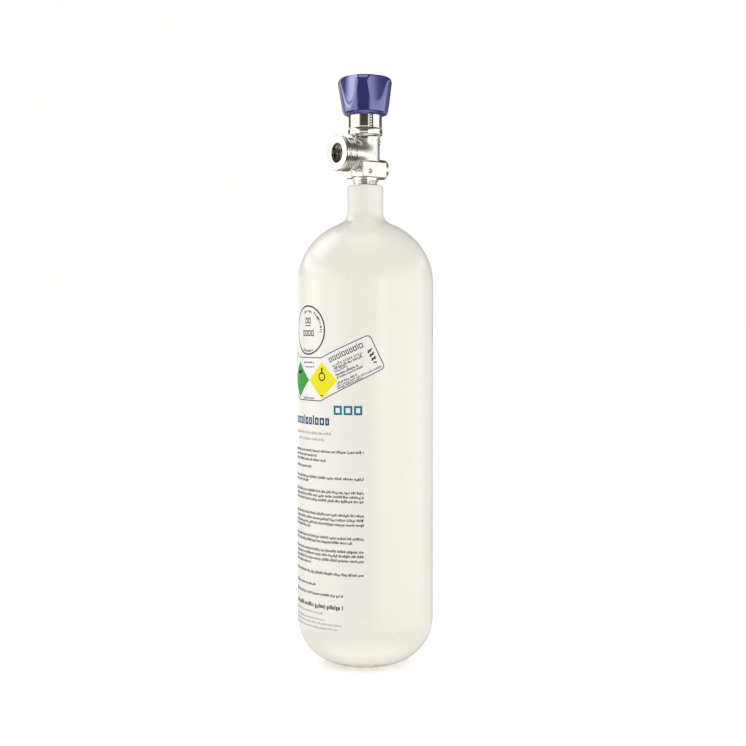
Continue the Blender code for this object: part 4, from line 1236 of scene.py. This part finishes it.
def make_labels(looks):
    tones = {
        "slate": (0.03, 0.04, 0.055),
        "green": (0.03, 0.32, 0.045),
        "yellow": (0.8, 0.74, 0.02),
        "black": (0.02, 0.018, 0.015),
        "brown": (0.06, 0.05, 0.04),
        "grey": (0.2, 0.19, 0.17),
        "teal": (0.005, 0.17, 0.24),
        "navy": (0.004, 0.055, 0.18),
    }
    inks = {name: ink_look(f"ink_{name}", tone) for name, tone in tones.items()}
    make_stamp(looks, inks)
    make_hazard_label(looks, inks)
    make_info_label(looks, inks)


# ---------------------------------------------------------------- carried-over CAD nodes


def dress_nodes(looks):
    """Gives each CAD node that stays its finish."""
    finishes = {
        "brass": ("dip_tube", "wheel_bush", "upper_spindle", "shutoff_plug"),
        "bronze": ("inlet_filter",),
        "copper": ("bonnet_gasket",),
        "steel": ("wheel_spring_washer", "wheel_nut", "piston_spring"),
        "ptfe": ("thread_seal_tape", "thrust_washer", "wheel_slide_ring"),
        "nylon": ("seat_insert",),
        "rubber": ("spindle_seal_lower", "spindle_seal_upper", "piston_seal"),
    }
    for finish, names in finishes.items():
        for name in names:
            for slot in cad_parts[name].material_slots:
                slot.material = looks[finish]


# ---------------------------------------------------------------- stage


def make_floor():
    look, tree, shader, place = new_look("pale_floor", (0.78, 0.78, 0.78), 0.9)
    tone = mix(tree, noise(tree, place, 3, 2), (0.78, 0.78, 0.777), (0.77, 0.77, 0.77))
    link(tree, tone, shader, "Base Color")
    shader.inputs["Specular IOR Level"].default_value = 0
    shader.inputs["Emission Color"].default_value = (1, 1, 0.995, 1)
    shader.inputs["Emission Strength"].default_value = 0.4
    rings = [(radius, FLOOR_LEVEL) for radius in (0, 0.5, 2, FLOOR_RADIUS)]
    profile = rings + [(FLOOR_RADIUS, FLOOR_UNDERSIDE), (0, FLOOR_UNDERSIDE)]
    floor = turned("floor", profile, look, segments=64)
    floor.visible_glossy = False


def make_light():
    """A white studio. Shiny surfaces see two tall softboxes with darker gaps between them."""
    world = bpy.data.worlds.new("studio")
    world.use_nodes = True
    world.cycles.sampling_method = "NONE"
    bpy.context.scene.world = world
    tree = world.node_tree
    tree.nodes.clear()
    direction = node(tree, "ShaderNodeTexCoord").outputs["Generated"]
    turn = math.pi / 2 - CAMERA_AZIMUTH
    facing = node(tree, "ShaderNodeMapping", {"Vector": direction, "Rotation": (0, 0, turn)})
    parts = node(tree, "ShaderNodeSeparateXYZ", {0: facing.outputs[0]})
    azimuth = calculate(tree, "ARCTAN2", parts.outputs[1], parts.outputs[0])
    around = spread(tree, azimuth, -math.pi, math.pi, 0, 1)
    height = spread(tree, parts.outputs[2], -1, 1, 0, 1)

    # Each stop is (degrees, grey) or (degrees, red, green, blue)
    def mask(*stops):
        """Shares or tones round the horizon, where 0 degrees lies towards the camera."""
        placed = [(0.5 + degrees / 360, tone * (3 // len(tone))) for degrees, *tone in stops]
        return ramp(tree, around, *placed)

    def light(*stops):
        """Light from the floor to the zenith, as a share of the peak."""
        placed = []
        for degrees, *tone in stops:
            place = 0.5 + math.sin(math.radians(degrees)) / 2
            placed.append((place, [part / LIGHT_PEAK for part in tone * (3 // len(tone))]))
        return ramp(tree, height, *placed)

    def combine(operation, first, second):
        inputs = {0: first, 1: second}
        return node(tree, "ShaderNodeVectorMath", inputs, operation=operation).outputs[0]

    low_boxes = mask(
        (-180, 0), (-126, 0), (-117, 1), (-46, 1), (-34, 0), (17, 0), (25, 1), (108, 1), (118, 0),
    )
    high_boxes = mask(
        (-180, 0), (-150, 0), (-136, 1), (-84, 1), (-52, 0.06), (0, 0), (50, 0.06), (84, 0.34),
        (132, 0.34), (146, 0),
    )
    start, end = math.sin(UPPER_BOXES_FROM), math.sin(UPPER_BOXES_TO)
    upper = spread(tree, parts.outputs[2], start, end, 0, 1)
    boxes = mix(tree, upper, low_boxes, high_boxes)
    front = light(
        (-90, 1.3, 1.28, 1.2), (-48, 0.8, 0.78, 0.72), (-32, 0.08, 0.08, 0.065),
        (-3, 0.1, 0.095, 0.08), (3, 0.85, 0.84, 0.82), (6.9, 0.95, 0.94, 0.92),
        (7.5, 0.4, 0.31, 0.25), (7.9, 0.06, 0.055, 0.045), (12, 0.08, 0.075, 0.06), (22, 0.12),
        (58, 0.15), (78, 1),
    )
    behind = light(
        (-90, 0.36, 0.3, 0.22), (-50, 0.3, 0.26, 0.2), (-25, 0.5, 0.49, 0.45),
        (-14, 0.9, 0.9, 0.88), (-11, 0.4, 0.4, 0.38), (-7.5, 0.4, 0.4, 0.38), (-5, 0.8, 0.8, 0.78),
        (-2, 0.5, 0.5, 0.48), (2, 0.3, 0.3, 0.29), (6.2, 0.12, 0.12, 0.1), (40, 0.09, 0.09, 0.075),
        (66, 0.07, 0.075, 0.065), (80, 1.1),
    )
    box = light(
        (-90, 1.5, 1.48, 1.4), (-60, 1.2, 1.18, 1.1), (-46, 0.34, 0.3, 0.23),
        (-38, 0.05, 0.06, 0.05), (-20, 0.06, 0.07, 0.06), (-14, 1.25, 1.23, 1.18),
        (-4, 1.7, 1.68, 1.62), (2, 1.5, 1.5, 1.48), (6, 1.22, 1.22, 1.21), (11, 1.3), (15, 3.4),
        (20, 3.4), (24, 0.2), (30, 0.05, 0.06, 0.05), (66, 0.05, 0.06, 0.05), (80, 1.1),
    )
    glare_mask = mask((-180, 0.85), (-150, 0.85), (-120, 0), (0, 0), (180, 0))
    glare = light((-90, 0), (-14, 0), (-7, 0.6), (-4, 1), (5.2, 1), (6, 0))
    rim_mask = mask((-180, 0.3), (-174, 0.3), (-168, 1), (152, 1), (162, 0.15), (180, 0.15))
    rear_light = combine("ADD", behind, combine("MULTIPLY", glare_mask, glare))
    rear_light = combine("MULTIPLY", rear_light, rim_mask)
    rear_mask = mask((-180, 1), (-110, 1), (-80, 0), (70, 0), (100, 1))
    gaps = mix(tree, rear_mask, front, rear_light)
    room = mix(tree, boxes, gaps, box)

    hot_mask = mask(
        (-180, 0), (-114, 0), (-106, 1), (-86, 1), (-76, 0), (19, 0), (22, 1), (30, 1), (42, 0),
    )
    hot = light((-90, 0), (-3.5, 0), (-0.5, 2.2, 2.2, 2.15), (5.5, 2.2, 2.2, 2.15), (7, 0))
    crown_mask = mask((-180, 0), (-150, 0), (-136, 1), (-102, 1), (-88, 0))
    crown = light((-90, 0), (24, 0), (32, 3.2), (54, 3.2), (62, 0))
    room = combine("ADD", room, combine("MULTIPLY", hot_mask, hot))
    room = combine("ADD", room, combine("MULTIPLY", crown_mask, crown))
    shiny = node(tree, "ShaderNodeBackground", {"Color": room, "Strength": LIGHT_PEAK})

    soft_light = mask(
        (-180, 0.87, 0.88, 0.9), (-100, 0.95, 0.965, 0.99), (-50, 0.875, 0.88, 0.89),
        (0, 0.735, 0.727, 0.71), (40, 0.91, 0.92, 0.94), (90, 0.965, 0.98, 1.01),
        (150, 0.89, 0.9, 0.92), (180, 0.87, 0.88, 0.9),
    )
    soft = node(tree, "ShaderNodeBackground", {"Color": soft_light})
    seen = node(tree, "ShaderNodeBackground", {"Color": (1, 1, 0.995, 1)})
    path = node(tree, "ShaderNodeLightPath")
    glossy, camera = path.outputs["Is Glossy Ray"], path.outputs["Is Camera Ray"]
    lit = node(tree, "ShaderNodeMixShader", {0: glossy, 1: soft.outputs[0], 2: shiny.outputs[0]})
    final = node(tree, "ShaderNodeMixShader", {0: camera, 1: lit.outputs[0], 2: seen.outputs[0]})
    node(tree, "ShaderNodeOutputWorld", {"Surface": final.outputs[0]})

    lamp = bpy.data.lights.new("top_softbox", "AREA")
    lamp.shape = "SQUARE"
    lamp.size = 1.6
    lamp.energy = 5
    thing = bpy.data.objects.new("top_softbox", lamp)
    thing.location = (0.2, -0.2, 2.2)
    bpy.context.scene.collection.objects.link(thing)


def make_camera():
    lens = bpy.data.cameras.new("camera")
    lens.lens = CAMERA_LENS
    lens.sensor_width = 36
    lens.shift_y = CAMERA_SHIFT
    lens.clip_start = 0.05
    lens.clip_end = 200
    camera = bpy.data.objects.new("camera", lens)
    towards = Vector((math.sin(CAMERA_AZIMUTH), -math.cos(CAMERA_AZIMUTH), 0))
    camera.location = towards * CAMERA_DISTANCE + Vector((0, 0, CAMERA_HEIGHT))
    heading = CAMERA_AZIMUTH - CAMERA_TURN
    camera.rotation_euler = (math.pi / 2 - CAMERA_TILT, 0, heading)
    bpy.context.scene.collection.objects.link(camera)
    bpy.context.scene.camera = camera


def main():
    bpy.context.scene.view_settings.view_transform = "Standard"
    looks = make_looks()
    make_bottle(looks)
    make_valve(looks)
    make_handwheel(looks)
    make_labels(looks)
    dress_nodes(looks)
    make_floor()
    make_light()
    make_camera()


main()
